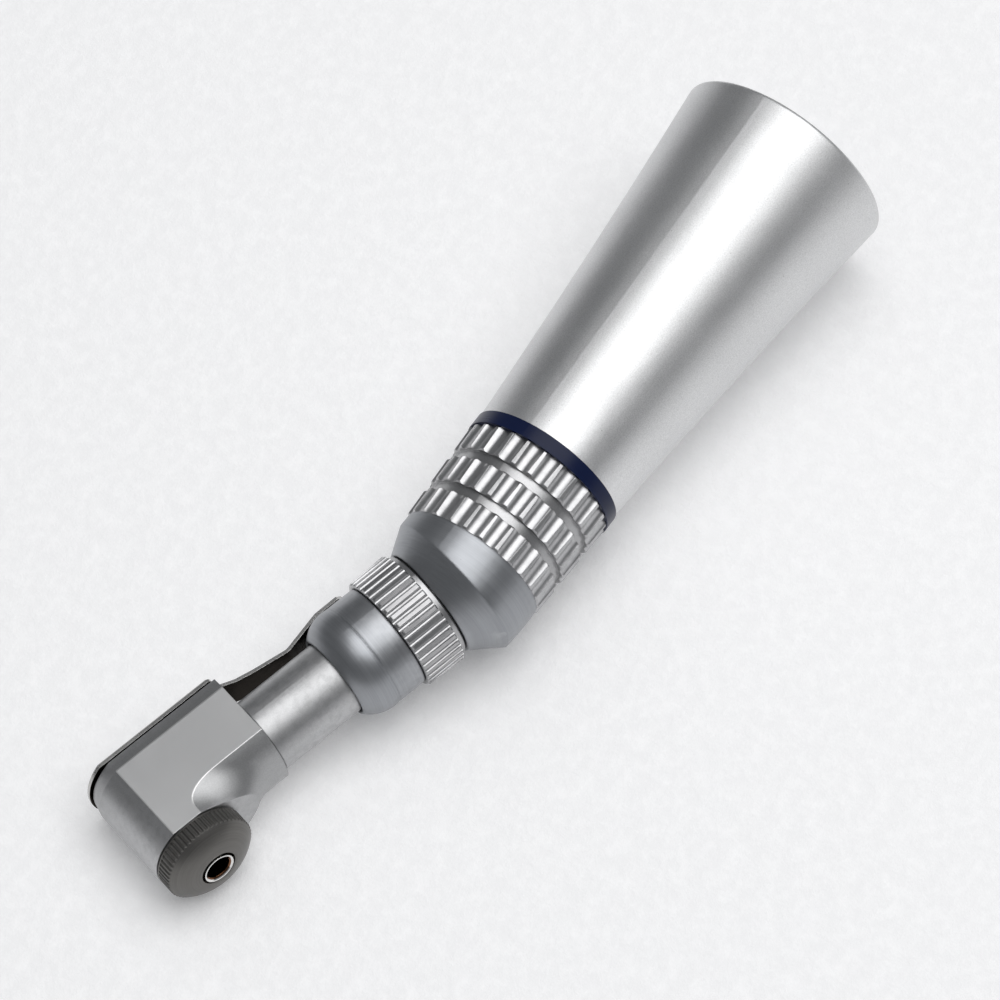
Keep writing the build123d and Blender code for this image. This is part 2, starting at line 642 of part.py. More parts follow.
def clutch_dog():
    """Sliding dog with a slot for the motor's blade and a long slot for the cross pin."""
    start = DOG_STATION
    end = start + DOG_LENGTH
    bore_radius = DRIVE_TAIL_RADIUS + DOG_CLEARANCE
    bore_width = 2 * (DRIVE_TAIL_FLAT + DOG_CLEARANCE)
    bore = rod(bore_radius, start, end) & block(bore_width, 4 * DOG_RADIUS, start, end)
    half = CROSS_PIN_RADIUS + DOG_CLEARANCE
    slot_end = CROSS_PIN_STATION + half + DOG_TRAVEL
    pin_slot = block(4 * DOG_RADIUS, 2 * half, CROSS_PIN_STATION - half, slot_end)
    drive_slot = block(DOG_SLOT_WIDTH, 4 * DOG_RADIUS, end - DOG_SLOT_DEPTH, end)
    return rod(DOG_RADIUS, start, end) - bore - pin_slot - drive_slot


# ---------------------------------------------------------------- bend housing and its gears
def bend_housing():
    """Dome at the bend, cut to a cone round the neck axis, hollow round the gears."""
    side = ThreePointArc(
        (COLLAR_FRONT_RADIUS - BAND_CHAMFER, DOME_REAR),
        ((COLLAR_FRONT_RADIUS + DOME_FRONT_RADIUS) / 2 + DOME_SWELL, (DOME_REAR + DOME_FRONT) / 2),
        (DOME_FRONT_RADIUS, DOME_FRONT),
    )
    rest = Polyline(side @ 1, (DOME_NOSE_RADIUS, DOME_NOSE), (0, DOME_NOSE), (0, DOME_REAR), side @ 0)
    dome = SHEATH * lathe(side, rest)
    slope = math.tan(math.radians(NOSE_CONE_ANGLE))
    cone = NECK * turned(
        (0, NOSE_FACE),
        (NOSE_FACE_RADIUS, NOSE_FACE),
        (NOSE_FACE_RADIUS + NOSE_CONE_REACH * slope, NOSE_FACE - NOSE_CONE_REACH),
        (0, NOSE_FACE - NOSE_CONE_REACH),
    )
    spigot = SHEATH * rod(BARREL_RADIUS, DOME_REAR, BARREL_FRONT)
    rear_room = SHEATH * rod(GEAR_CHAMBER_RADIUS, GEAR_CHAMBER_START, BARREL_FRONT)
    front_room = NECK * rod(GEAR_CHAMBER_RADIUS, GEAR_CHAMBER_START, NECK_CORE_REAR)
    core_seat = NECK * rod(NECK_CORE_REAR_RADIUS, NECK_CORE_REAR, NOSE_FACE)
    return (dome & cone) + spigot - rear_room - front_room - core_seat


def bend_gear(hub_radius, hub_end, bore, phase):
    """One of the two like gears that meet at the bend."""
    return bevel_gear(
        BEND_TEETH,
        90 - BEND_ANGLE / 2,
        BEND_GEAR_OUT,
        BEND_GEAR_IN,
        BEND_ADDENDUM,
        BEND_DEDENDUM,
        BEND_BACKLASH,
        BEND_GEAR_BACK,
        (hub_radius, hub_end),
        bore,
        phase,
    )


# ---------------------------------------------------------------- neck
def neck_core():
    """Inner neck: bearing seat at the rear, socket for the head's tube at the front."""
    seat = NECK_BEARING["outer"]
    clip = NECK_BEARING_STATION - CIRCLIP_THICKNESS
    groove = seat + CIRCLIP_GROOVE_DEPTH
    return turned(
        (seat, NECK_CORE_REAR),
        (NECK_CORE_REAR_RADIUS, NECK_CORE_REAR),
        (NECK_CORE_REAR_RADIUS, NOSE_FACE),
        (NECK_CORE_RADIUS, NOSE_FACE),
        (NECK_CORE_RADIUS, CORE_FRONT),
        (TUBE_RADIUS, CORE_FRONT),
        (TUBE_RADIUS, TUBE_END),
        (NECK_BEARING_SHOULDER, TUBE_END),
        (NECK_BEARING_SHOULDER, NECK_BEARING_END),
        (seat, NECK_BEARING_END),
        (seat, NECK_BEARING_STATION),
        (groove, NECK_BEARING_STATION),
        (groove, clip),
        (seat, clip),
    )


def locking_nut():
    """Ribbed nut that locks the head to the handle."""
    start = NOSE_FACE + SHOULDER_GAP
    end = start + NUT_LENGTH
    bore = NECK_CORE_RADIUS + NUT_CLEARANCE
    ribs_start = start + NUT_FLANGE_LENGTH
    ribs_end = end - NUT_ROUNDING
    corner = ThreePointArc(
        (NUT_FRONT_RADIUS, ribs_end),
        (
            NUT_FRONT_RADIUS - NUT_ROUNDING * (1 - math.sin(math.pi / 4)),
            ribs_end + NUT_ROUNDING * math.sin(math.pi / 4),
        ),
        (NUT_FRONT_RADIUS - NUT_ROUNDING, end),
    )
    rest = Polyline(
        corner @ 1,
        (bore, end),
        (bore, start),
        (NUT_FLANGE_RADIUS - BAND_CHAMFER, start),
        (NUT_FLANGE_RADIUS, start + BAND_CHAMFER),
        (NUT_FLANGE_RADIUS, ribs_start),
        (NUT_REAR_RADIUS - BAND_CHAMFER, ribs_start),
        (NUT_REAR_RADIUS, ribs_start + BAND_CHAMFER),
        corner @ 0,
    )
    groove = Pos((NUT_REAR_RADIUS + NUT_FRONT_RADIUS) / 2, 0, 0) * rod(NUT_GROOVE_RADIUS, ribs_start, end)
    return lathe(corner, rest) - around(groove, NUT_RIBS)


def neck_sleeve():
    """Domed cover over the joint between the neck and the head's tube."""
    line = SLEEVE_REAR + SLEEVE_STRAIGHT
    dome = ThreePointArc(
        (SLEEVE_RADIUS, line + SLEEVE_LINE),
        (SLEEVE_RADIUS - SLEEVE_DOME_DROP, SLEEVE_FRONT - SLEEVE_DOME_SETBACK),
        (SLEEVE_FRONT_RADIUS, SLEEVE_FRONT - SLEEVE_EDGE),
    )
    rest = Polyline(
        dome @ 1,
        (SLEEVE_FRONT_RADIUS - SLEEVE_EDGE, SLEEVE_FRONT),
        (TUBE_RADIUS + SHADOW_GAP, SLEEVE_FRONT),
        (TUBE_RADIUS + SHADOW_GAP, SLEEVE_FRONT - SLEEVE_LIP / 3),
        (TUBE_RADIUS, SLEEVE_FRONT - SLEEVE_LIP / 3),
        (TUBE_RADIUS, CORE_FRONT),
        (NECK_CORE_RADIUS, CORE_FRONT),
        (NECK_CORE_RADIUS, SLEEVE_REAR),
        (SLEEVE_RADIUS, SLEEVE_REAR),
        (SLEEVE_RADIUS, line - SLEEVE_LINE),
        (SLEEVE_RADIUS - SLEEVE_LINE, line),
        dome @ 0,
    )
    return lathe(dome, rest)


def locating_pin():
    """Dowel through the neck core and the head's tube that stops the head turning."""
    station = (TUBE_END + CORE_FRONT) / 2
    inner_end = TUBE_BORE + LOCATING_PIN_FLOOR
    length = NECK_CORE_RADIUS + CUT_PAST - inner_end
    pin = Pos(inner_end + length / 2, 0, station) * Rot(0, 90, 0) * Cylinder(LOCATING_PIN_RADIUS, length)
    return pin & rod(NECK_CORE_RADIUS, TUBE_END, CORE_FRONT)


def neck_shaft():
    """Shaft through the neck, from the bend gear to the head's pinion."""
    front = NECK_REACH - HEAD_GEAR_BACK + PINION_SHAFT_LAP
    seat = NECK_BEARING["bore"]
    shoulder_end = NECK_BEARING_END + NECK_SHOULDER_LENGTH
    return turned(
        (0, NOSE_SETBACK),
        (NECK_NOSE_RADIUS, NOSE_SETBACK),
        (NECK_NOSE_RADIUS, NECK_BEARING_STATION),
        (seat, NECK_BEARING_STATION),
        (seat, NECK_BEARING_END),
        (NECK_SHOULDER_RADIUS, NECK_BEARING_END),
        (NECK_SHOULDER_RADIUS, shoulder_end),
        (NECK_SHAFT_RADIUS, shoulder_end),
        (NECK_SHAFT_RADIUS, front),
        (0, front),
    )


# ---------------------------------------------------------------- head
def head_housing():
    """Head block and its tube, in head axes, bored for the gears, the chuck and the shaft."""
    overlong = BLOCK_FACE + 3 * WEB_FILLET
    bevel_start = BLOCK_BACK - BACK_BEVEL_DEPTH
    barrel = turned(
        (0, -BLOCK_BACK),
        (BLOCK_RADIUS - BACK_BEVEL, -BLOCK_BACK),
        (BLOCK_RADIUS, -bevel_start),
        (BLOCK_RADIUS, overlong),
        (0, overlong),
    )
    slab_section = Polyline(
        (BLOCK_HALF_WIDTH, -overlong),
        (BLOCK_HALF_WIDTH, bevel_start),
        (BLOCK_HALF_WIDTH - BACK_BEVEL, BLOCK_BACK),
        (BACK_BEVEL - BLOCK_HALF_WIDTH, BLOCK_BACK),
        (-BLOCK_HALF_WIDTH, bevel_start),
        (-BLOCK_HALF_WIDTH, -overlong),
        close=True,
    )
    belly = ThreePointArc(
        (BLOCK_HALF_WIDTH, -BLOCK_SIDE_LOW),
        (0, -BLOCK_BELLY),
        (-BLOCK_HALF_WIDTH, -BLOCK_SIDE_LOW),
    )
    sides = Polyline(
        belly @ 1,
        (-BLOCK_HALF_WIDTH, bevel_start),
        (BACK_BEVEL - BLOCK_HALF_WIDTH, BLOCK_BACK),
        (BLOCK_HALF_WIDTH - BACK_BEVEL, BLOCK_BACK),
        (BLOCK_HALF_WIDTH, bevel_start),
        belly @ 0,
    )
    rear_plane = Plane(origin=(0, -BLOCK_LENGTH, 0), x_dir=(1, 0, 0), z_dir=(0, 1, 0))
    slab = extrude(rear_plane * make_face(slab_section), 4 * BLOCK_RADIUS + BLOCK_LENGTH)
    solid = (barrel & slab) + extrude(rear_plane * make_face(Curve() + [belly, sides]), BLOCK_LENGTH)
    solid = fillet(solid.edges().filter_by(GeomType.BSPLINE), WEB_FILLET)
    solid = solid - block(4 * BLOCK_RADIUS, 4 * BLOCK_RADIUS, BLOCK_FACE, overlong + CUT_PAST)
    to_neck = HEAD.location.inverse() * NECK.location
    line = tube(TUBE_RADIUS - TUBE_LINE, TUBE_RADIUS + CUT_PAST, BLOCK_REAR - 2 * TUBE_LINE, BLOCK_REAR)
    solid = solid + to_neck * rod(TUBE_RADIUS, TUBE_END, BLOCK_REAR + CUT_PAST) - to_neck * line
    gear_room = rod(HEAD_CHAMBER_RADIUS, -CHUCK_BUSH_INNER, BLOCK_FACE)
    bush_seat = rod(CHUCK_BUSH_RADIUS, -BLOCK_BACK, -CHUCK_BUSH_INNER)
    pinion_room = to_neck * rod(PINION_CHAMBER_RADIUS, FRONT_BUSH_END, NECK_REACH)
    bore = to_neck * rod(TUBE_BORE, TUBE_END, NECK_REACH - HEAD_CHAMBER_RADIUS)
    pivot = rod(PIVOT_RADIUS, -BLOCK_BACK, PIVOT_END)
    pivot = Pos(0, -PIVOT_SETBACK, 0) * pivot
    pin = to_neck * locating_pin()
    return solid - gear_room - bush_seat - pinion_room - bore - pivot - pin


def neck_front_bush():
    """Bronze bush that carries the front of the neck shaft."""
    return tube(NECK_SHAFT_RADIUS + BUSH_CLEARANCE, TUBE_BORE, FRONT_BUSH_STATION, FRONT_BUSH_END)


def head_gear(hub_radius, hub_end, bore, phase):
    """One of the two like gears that meet square in the head."""
    return bevel_gear(
        HEAD_TEETH,
        45,
        HEAD_GEAR_OUT,
        HEAD_GEAR_IN,
        HEAD_ADDENDUM,
        HEAD_DEDENDUM,
        HEAD_BACKLASH,
        HEAD_GEAR_BACK,
        (hub_radius, hub_end),
        bore,
        phase,
    )


# ---------------------------------------------------------------- chuck and cap
def chuck_tube():
    """Turning tube that takes the bur's shank, with a collar that holds it in the cap."""
    rear = -BLOCK_BACK
    collar_end = CAP_BUSH_REAR - THRUST_WASHER_THICKNESS - END_PLAY
    return turned(
        (CHUCK_BORE, rear),
        (CHUCK_RADIUS, rear),
        (CHUCK_RADIUS, collar_end - CHUCK_COLLAR_LENGTH),
        (CHUCK_COLLAR_RADIUS, collar_end - CHUCK_COLLAR_LENGTH),
        (CHUCK_COLLAR_RADIUS, collar_end),
        (CHUCK_RADIUS, collar_end),
        (CHUCK_RADIUS, CHUCK_FRONT),
        (CHUCK_BORE + CHUCK_MOUTH_CHAMFER, CHUCK_FRONT),
        (CHUCK_BORE, CHUCK_FRONT - CHUCK_MOUTH_CHAMFER),
    )


def head_cap():
    """Knurled cap that closes the head and holds the front bush."""
    knurl_end = (CAP_RADIUS, CAP_KNURL_END)
    dome = ThreePointArc(
        (CAP_RADIUS - CAP_SHOULDER, CAP_KNURL_END + CAP_SHOULDER),
        ((CAP_RADIUS + CAP_FACE_RADIUS) / 2, (CAP_KNURL_END + CAP_FACE) / 2 + CAP_BULGE),
        (CAP_FACE_RADIUS, CAP_FACE),
    )
    rest = Polyline(
        dome @ 1,
        (CAP_HOLE, CAP_FACE),
        (CAP_HOLE, CAP_BUSH_FRONT),
        (CAP_BORE, CAP_BUSH_FRONT),
        (CAP_BORE, CAP_REAR - CAP_SPIGOT_LENGTH),
        (HEAD_CHAMBER_RADIUS, CAP_REAR - CAP_SPIGOT_LENGTH),
        (HEAD_CHAMBER_RADIUS, CAP_REAR),
        (CAP_RADIUS - BAND_CHAMFER, CAP_REAR),
        (CAP_RADIUS, CAP_REAR + BAND_CHAMFER),
        knurl_end,
        dome @ 0,
    )
    knurl_start = CAP_REAR + 2 * BAND_CHAMFER
    knurl_stop = CAP_KNURL_END + 2 * CAP_SHOULDER
    cutter = Pos(CAP_RADIUS + CAP_KNURL_SHY, 0, 0) * rod(CAP_KNURL_RADIUS, knurl_start, knurl_stop)
    return lathe(dome, rest) - around(cutter, CAP_KNURLS)


# ---------------------------------------------------------------- latch
def latch_lever():
    """Spring steel latch: a plate over the head's back and a narrow tail along the neck."""
    front = rod(LATCH_FRONT_RADIUS, -LATCH_TOP, -LATCH_UNDER)
    front = front & block(2 * LATCH_HALF_WIDTH, 4 * LATCH_FRONT_RADIUS, -LATCH_TOP, -LATCH_UNDER)
    back = Pos(0, -LATCH_LENGTH / 2, 0) * block(2 * LATCH_HALF_WIDTH, LATCH_LENGTH, -LATCH_TOP, -LATCH_UNDER)
    plate = front + back
    corners = plate.edges().filter_by(Axis.Z).group_by(Axis.Y)[0]
    plate = fillet(corners, TAIL_CORNER)
    plate = chamfer(plate.faces().sort_by(Axis.Z)[0].outer_wire().edges(), LATCH_EDGE)
    return plate + latch_tail() - latch_holes()


def latch_tail():
    """Bent strip that dips towards the tube and rises again over the sleeve."""
    over_sleeve = SLEEVE_RADIUS + TAIL_SLEEVE_GAP + TAIL_THICKNESS
    run = [
        (LATCH_REAR + TAIL_LAP, LATCH_TOP),
        (LATCH_REAR - TAIL_ROOT, LATCH_TOP),
        (LATCH_REAR - TAIL_STEP_LENGTH, LATCH_TOP - TAIL_STEP),
        (SLEEVE_FRONT + TAIL_DIP_AHEAD, TUBE_RADIUS + TAIL_DIP_GAP),
        (SLEEVE_FRONT - TAIL_RISE, over_sleeve),
        (TAIL_END, over_sleeve + TAIL_LIFT),
    ]
    outer = [(station - NECK_REACH, -height) for station, height in run]
    inner = [(y, z + TAIL_THICKNESS) for y, z in outer]
    top = FilletPolyline(*outer, radius=TAIL_BEND_RADIUS)
    under = FilletPolyline(*inner, radius=TAIL_BEND_RADIUS)
    ends = [Line(top @ 0, under @ 0), Line(top @ 1, under @ 1)]
    strip = Plane.YZ * make_face(Curve() + [top, under] + ends)
    strip = extrude(strip, TAIL_ROOT_HALF_WIDTH + CUT_PAST, both=True)
    rear = TAIL_END - NECK_REACH
    root = -LATCH_LENGTH
    narrow = root - TAIL_TAPER_LENGTH
    plan = Polyline(
        (TAIL_ROOT_HALF_WIDTH, root + TAIL_LAP),
        (TAIL_ROOT_HALF_WIDTH, root),
        (TAIL_HALF_WIDTH, narrow),
        (TAIL_HALF_WIDTH, rear + TAIL_CORNER),
        (TAIL_HALF_WIDTH - TAIL_CORNER, rear),
        (TAIL_CORNER - TAIL_HALF_WIDTH, rear),
        (-TAIL_HALF_WIDTH, rear + TAIL_CORNER),
        (-TAIL_HALF_WIDTH, narrow),
        (-TAIL_ROOT_HALF_WIDTH, root),
        (-TAIL_ROOT_HALF_WIDTH, root + TAIL_LAP),
        close=True,
    )
    return strip & (Pos(0, 0, -2 * LATCH_TOP) * extrude(make_face(plan), 4 * LATCH_TOP))


def latch_rivets():
    """Two rivets that hold the tongue under the plate."""
    rivets = []
    for side in (-1, 1):
        place = Pos(side * (TONGUE_HALF_WIDTH - RIVET_HEAD_RADIUS), -RIVET_SETBACK, 0)
        shank = rod(RIVET_RADIUS, -LATCH_TOP, TONGUE_THICKNESS - LATCH_UNDER)
        head = rod(RIVET_HEAD_RADIUS, -LATCH_TOP - RIVET_HEAD_HEIGHT, -LATCH_TOP)
        rivets.append(place * (shank + chamfer(head.edges().sort_by(Axis.Z)[0], RIVET_HEAD_HEIGHT / 2)))
    return rivets


def latch_holes():
    """Holes through the latch for its pivot and its two rivets."""
    pivot = rod(PIVOT_RADIUS + PIVOT_CLEARANCE, -LATCH_TOP - CUT_PAST, -BLOCK_BACK)
    holes = [Pos(0, -PIVOT_SETBACK, 0) * pivot]
    for side in (-1, 1):
        place = Pos(side * (TONGUE_HALF_WIDTH - RIVET_HEAD_RADIUS), -RIVET_SETBACK, 0)
        holes.append(place * rod(RIVET_RADIUS, -LATCH_TOP - CUT_PAST, -BLOCK_BACK))
    return holes


def latch_tongue():
    """Thin tongue under the plate whose notch holds the end of the bur."""
    length = TONGUE_REAR + TONGUE_FRONT
    plate = block(2 * TONGUE_HALF_WIDTH, length, -LATCH_UNDER, TONGUE_THICKNESS - LATCH_UNDER)
    plate = Pos(0, (TONGUE_FRONT - TONGUE_REAR) / 2, 0) * plate
    mouth = block(2 * TONGUE_HALF_WIDTH, 2 * TONGUE_NOTCH, -LATCH_UNDER, -BLOCK_BACK)
    mouth = Pos(TONGUE_HALF_WIDTH, 0, 0) * mouth
    notch = rod(TONGUE_NOTCH, -LATCH_UNDER, -BLOCK_BACK) + mouth
    return plate - notch - latch_holes()


def pivot_screw():
    """Shouldered screw that the latch swings on."""
    head = rod(PIVOT_HEAD_RADIUS, -LATCH_TOP - PIVOT_HEAD_HEIGHT, -LATCH_TOP - END_PLAY)
    head = chamfer(head.edges().sort_by(Axis.Z)[0], BAND_CHAMFER)
    shank = rod(PIVOT_RADIUS, -LATCH_TOP - END_PLAY, PIVOT_END)
    top = -LATCH_TOP - PIVOT_HEAD_HEIGHT
    slot = block(PIVOT_SLOT_WIDTH, 4 * PIVOT_HEAD_RADIUS, top, top + PIVOT_HEAD_HEIGHT / 2)
    return Pos(0, -PIVOT_SETBACK, 0) * (head + shank - slot)


def pivot_washer():
    """Washer between the latch and the head."""
    washer = tube(PIVOT_RADIUS, PIVOT_WASHER_RADIUS, END_PLAY - LATCH_UNDER, -BLOCK_BACK)
    return Pos(0, -PIVOT_SETBACK, 0) * washer


# ---------------------------------------------------------------- assembly in handpiece axes
BEND_INSIDE = Vector(math.sin(BEND), math.cos(BEND), 0)
HEAD_CENTRE = NECK_DIRECTION * NECK_REACH
REAR_GEAR = Plane(origin=(0, 0, 0), x_dir=(0, 1, 0), z_dir=(1, 0, 0))
NECK_GEAR = Plane(origin=(0, 0, 0), x_dir=BEND_INSIDE, z_dir=NECK_DIRECTION)
PINION = Plane(origin=HEAD_CENTRE, x_dir=BUR_DIRECTION * -1, z_dir=NECK_DIRECTION * -1)
CHUCK_GEAR = Plane(origin=HEAD_CENTRE, x_dir=NECK_DIRECTION * -1, z_dir=BUR_DIRECTION * -1)

node("outer_sheath", SHEATH, outer_sheath())
node("grip_collar", SHEATH, grip_collar())
node("colour_ring", SHEATH, colour_ring())
node("sheath_seal", SHEATH, sheath_seal())
node("motor_socket", SHEATH, motor_socket())
node("snap_ring", SHEATH, snap_ring())
node("bearing_barrel", SHEATH, bearing_barrel())
node("barrel_circlip", SHEATH, circlip(REAR_BEARING["outer"], REAR_BEARING_END))
node("preload_disc_spring", SHEATH, disc_spring())
ball_bearing("drive_front_bearing", SHEATH, REAR_BEARING_STATION, REAR_BEARING)
ball_bearing("drive_rear_bearing", SHEATH, SECOND_BEARING_STATION, REAR_BEARING)
node("drive_shaft", SHEATH, drive_shaft())
node("clutch_cross_pin", SHEATH, cross_pin())
node("clutch_spring_seat", SHEATH, spring_seat())
node("clutch_spring", SHEATH, clutch_spring())
node("clutch_dog", SHEATH, clutch_dog())
node("bend_drive_gear", REAR_GEAR, bend_gear(DRIVE_BODY_RADIUS, REAR_BEARING_STATION, DRIVE_NOSE_RADIUS, 0))

nodes["bend_housing"] = bend_housing()
node(
    "bend_driven_gear",
    NECK_GEAR,
    bend_gear(NECK_SHOULDER_RADIUS, NECK_BEARING_STATION, NECK_NOSE_RADIUS, 180 / BEND_TEETH),
)
node("neck_core", NECK, neck_core() - locating_pin())
node("neck_circlip", NECK, circlip(NECK_BEARING["outer"], NECK_BEARING_STATION - CIRCLIP_THICKNESS))
ball_bearing("neck_bearing", NECK, NECK_BEARING_STATION, NECK_BEARING)
node("neck_shaft", NECK, neck_shaft())
node("neck_front_bush", NECK, neck_front_bush())
node("locking_nut", NECK, locking_nut())
node("neck_sleeve", NECK, neck_sleeve())
node("locating_pin", NECK, locating_pin())

node("head_housing", HEAD, head_housing())
pinion_hub_end = NECK_REACH - FRONT_BUSH_END - END_PLAY
node("head_pinion", PINION, head_gear(NECK_SHOULDER_RADIUS, pinion_hub_end, NECK_SHAFT_RADIUS, 0))
chuck_hub_end = CHUCK_BUSH_INNER - END_PLAY
node("chuck_gear", CHUCK_GEAR, head_gear(CHUCK_COLLAR_RADIUS, chuck_hub_end, CHUCK_RADIUS, 180 / HEAD_TEETH))
node("chuck_tube", HEAD, chuck_tube())
chuck_clear = CHUCK_RADIUS + BUSH_CLEARANCE
node("chuck_rear_bush", HEAD, tube(chuck_clear, CHUCK_BUSH_RADIUS, -BLOCK_BACK, -CHUCK_BUSH_INNER))
node("chuck_front_bush", HEAD, tube(chuck_clear, CAP_BORE, CAP_BUSH_REAR, CAP_BUSH_FRONT))
washer_rear = CAP_BUSH_REAR - THRUST_WASHER_THICKNESS
node("chuck_thrust_washer", HEAD, tube(chuck_clear, CAP_BORE, washer_rear, CAP_BUSH_REAR))
node("head_cap", HEAD, head_cap())
node("latch_lever", HEAD, latch_lever())
node("latch_tongue", HEAD, latch_tongue())
node("latch_rivets", HEAD, Compound(latch_rivets()))
node("latch_pivot_screw", HEAD, pivot_screw())
node("latch_pivot_washer", HEAD, pivot_washer())


# ---------------------------------------------------------------- how it lies on a table
def resting_frame():
    """Frame of the table top: the rim and the front band touch it, and the head's lowest corner."""
    rise = (RIM_RADIUS - COLLAR_FRONT_RADIUS) / (RIM_STATION - RIM_ROUNDING - DOME_REAR - BAND_CHAMFER)
    pitch = math.atan(rise)
    floor = (DOME_REAR + BAND_CHAMFER) * math.sin(pitch) - COLLAR_FRONT_RADIUS * math.cos(pitch)
    front = math.sqrt(LATCH_FRONT_RADIUS**2 - LATCH_HALF_WIDTH**2)
    rolls = []
    for forward in (-LATCH_LENGTH, front):
        for height in (LATCH_UNDER, LATCH_TOP - LATCH_EDGE):
            corner = HEAD.from_local_coords(Vector(-LATCH_HALF_WIDTH, forward, -height))
            need = (floor - corner.X * math.sin(pitch)) / math.cos(pitch)
            reach = math.hypot(corner.Y, corner.Z)
            rolls.append(math.acos(need / reach) - math.atan2(corner.Y, corner.Z))
    roll = min(angle for angle in rolls if angle > 0)
    up = Vector(
        math.sin(pitch),
        -math.cos(pitch) * math.sin(roll),
        math.cos(pitch) * math.cos(roll),
    )
    back = Vector(1, 0, 0) - up * up.X
    return Plane(origin=(0, 0, 0), x_dir=back, z_dir=up)


TABLE = resting_frame()
TO_TABLE_AXES = TABLE.location.inverse()
OUTER_PIECES = ("outer_sheath", "grip_collar", "head_housing", "head_cap", "latch_lever", "chuck_tube")
boxes = [(TO_TABLE_AXES * nodes[name]).bounding_box() for name in OUTER_PIECES]
low = [min(tuple(box.min)[axis] for box in boxes) for axis in range(3)]
high = [max(tuple(box.max)[axis] for box in boxes) for axis in range(3)]
TO_TABLE = Pos(-(low[0] + high[0]) / 2, -(low[1] + high[1]) / 2, -low[2]) * TO_TABLE_AXES

os.makedirs("parts", exist_ok=True)
for name, shape in nodes.items():
    export_step(TO_TABLE * shape, f"parts/{name}.step")
print(len(nodes), "nodes,", " x ".join(f"{high[axis] - low[axis]:.2f}" for axis in range(3)), "mm")
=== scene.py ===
import json
import logging
import math
from dataclasses import dataclass, field
from enum import Enum

import bpy
from mathutils import Matrix, Vector

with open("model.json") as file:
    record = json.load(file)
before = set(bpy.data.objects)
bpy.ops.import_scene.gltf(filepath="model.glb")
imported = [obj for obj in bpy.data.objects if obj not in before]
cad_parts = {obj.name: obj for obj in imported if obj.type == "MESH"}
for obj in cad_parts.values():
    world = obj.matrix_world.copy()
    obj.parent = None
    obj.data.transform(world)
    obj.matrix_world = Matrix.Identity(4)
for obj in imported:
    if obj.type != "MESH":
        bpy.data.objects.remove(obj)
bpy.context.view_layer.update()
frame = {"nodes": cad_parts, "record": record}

LOG = logging.getLogger("handpiece")
MM = 0.001


# ------------------------------------------------------------------ places
class Axis(Enum):
    """The three turning axes of the handpiece."""

    SHEATH = "sheath"
    NECK = "neck"
    BUR = "bur"


@dataclass
class Layout:
    """Axes and stations of the handpiece in the row frame, worked out from its mounts."""

    rim_station: float = 50.28 * MM
    mouth_chamfer: float = 0.4 * MM
    bur_mouth: float = 7.59 * MM

    def __post_init__(self) -> None:
        """Read the two bores and turn them into three axis frames."""
        mounts = {mount["name"]: mount for mount in frame["record"]["mounts"]}
        socket = mounts["motor_socket"]
        chuck = mounts["bur_chuck"]
        back = Vector(socket["axis"]).normalized()
        bur = Vector(chuck["axis"]).normalized()
        side = bur.cross(back).normalized()
        neck = bur.cross(side).normalized()
        half_socket = socket["dims"]["length_mm"] * MM / 2
        rim = Vector(socket["pos_m"]) + back * (half_socket + self.mouth_chamfer)
        half_chuck = chuck["dims"]["length_mm"] * MM / 2
        mouth = Vector(chuck["pos_m"]) + bur * half_chuck
        self.bur = bur
        self.bend = rim - back * self.rim_station
        self.head = mouth - bur * self.bur_mouth
        self.frames = {
            Axis.SHEATH: self._frame(self.bend, side, back),
            Axis.NECK: self._frame(self.bend, side, neck),
            Axis.BUR: self._frame(self.head, side, bur),
        }

    @staticmethod
    def _frame(origin: Vector, side: Vector, along: Vector) -> Matrix:
        """Matrix whose Z runs along an axis and whose X points to the side.

        Args:
            origin: the frame's origin in the row frame.
            side: unit vector of the frame's X.
            along: unit vector of the frame's Z.

        Returns:
            The 4 x 4 matrix from the axis frame to the row frame.
        """
        across = along.cross(side)
        matrix = Matrix((side, across, along)).transposed().to_4x4()
        matrix.translation = origin
        return matrix


# ------------------------------------------------------------------ shader building
class Grain(Enum):
    """How a surface was finished."""

    BLASTED = "blasted"
    TURNED = "turned"


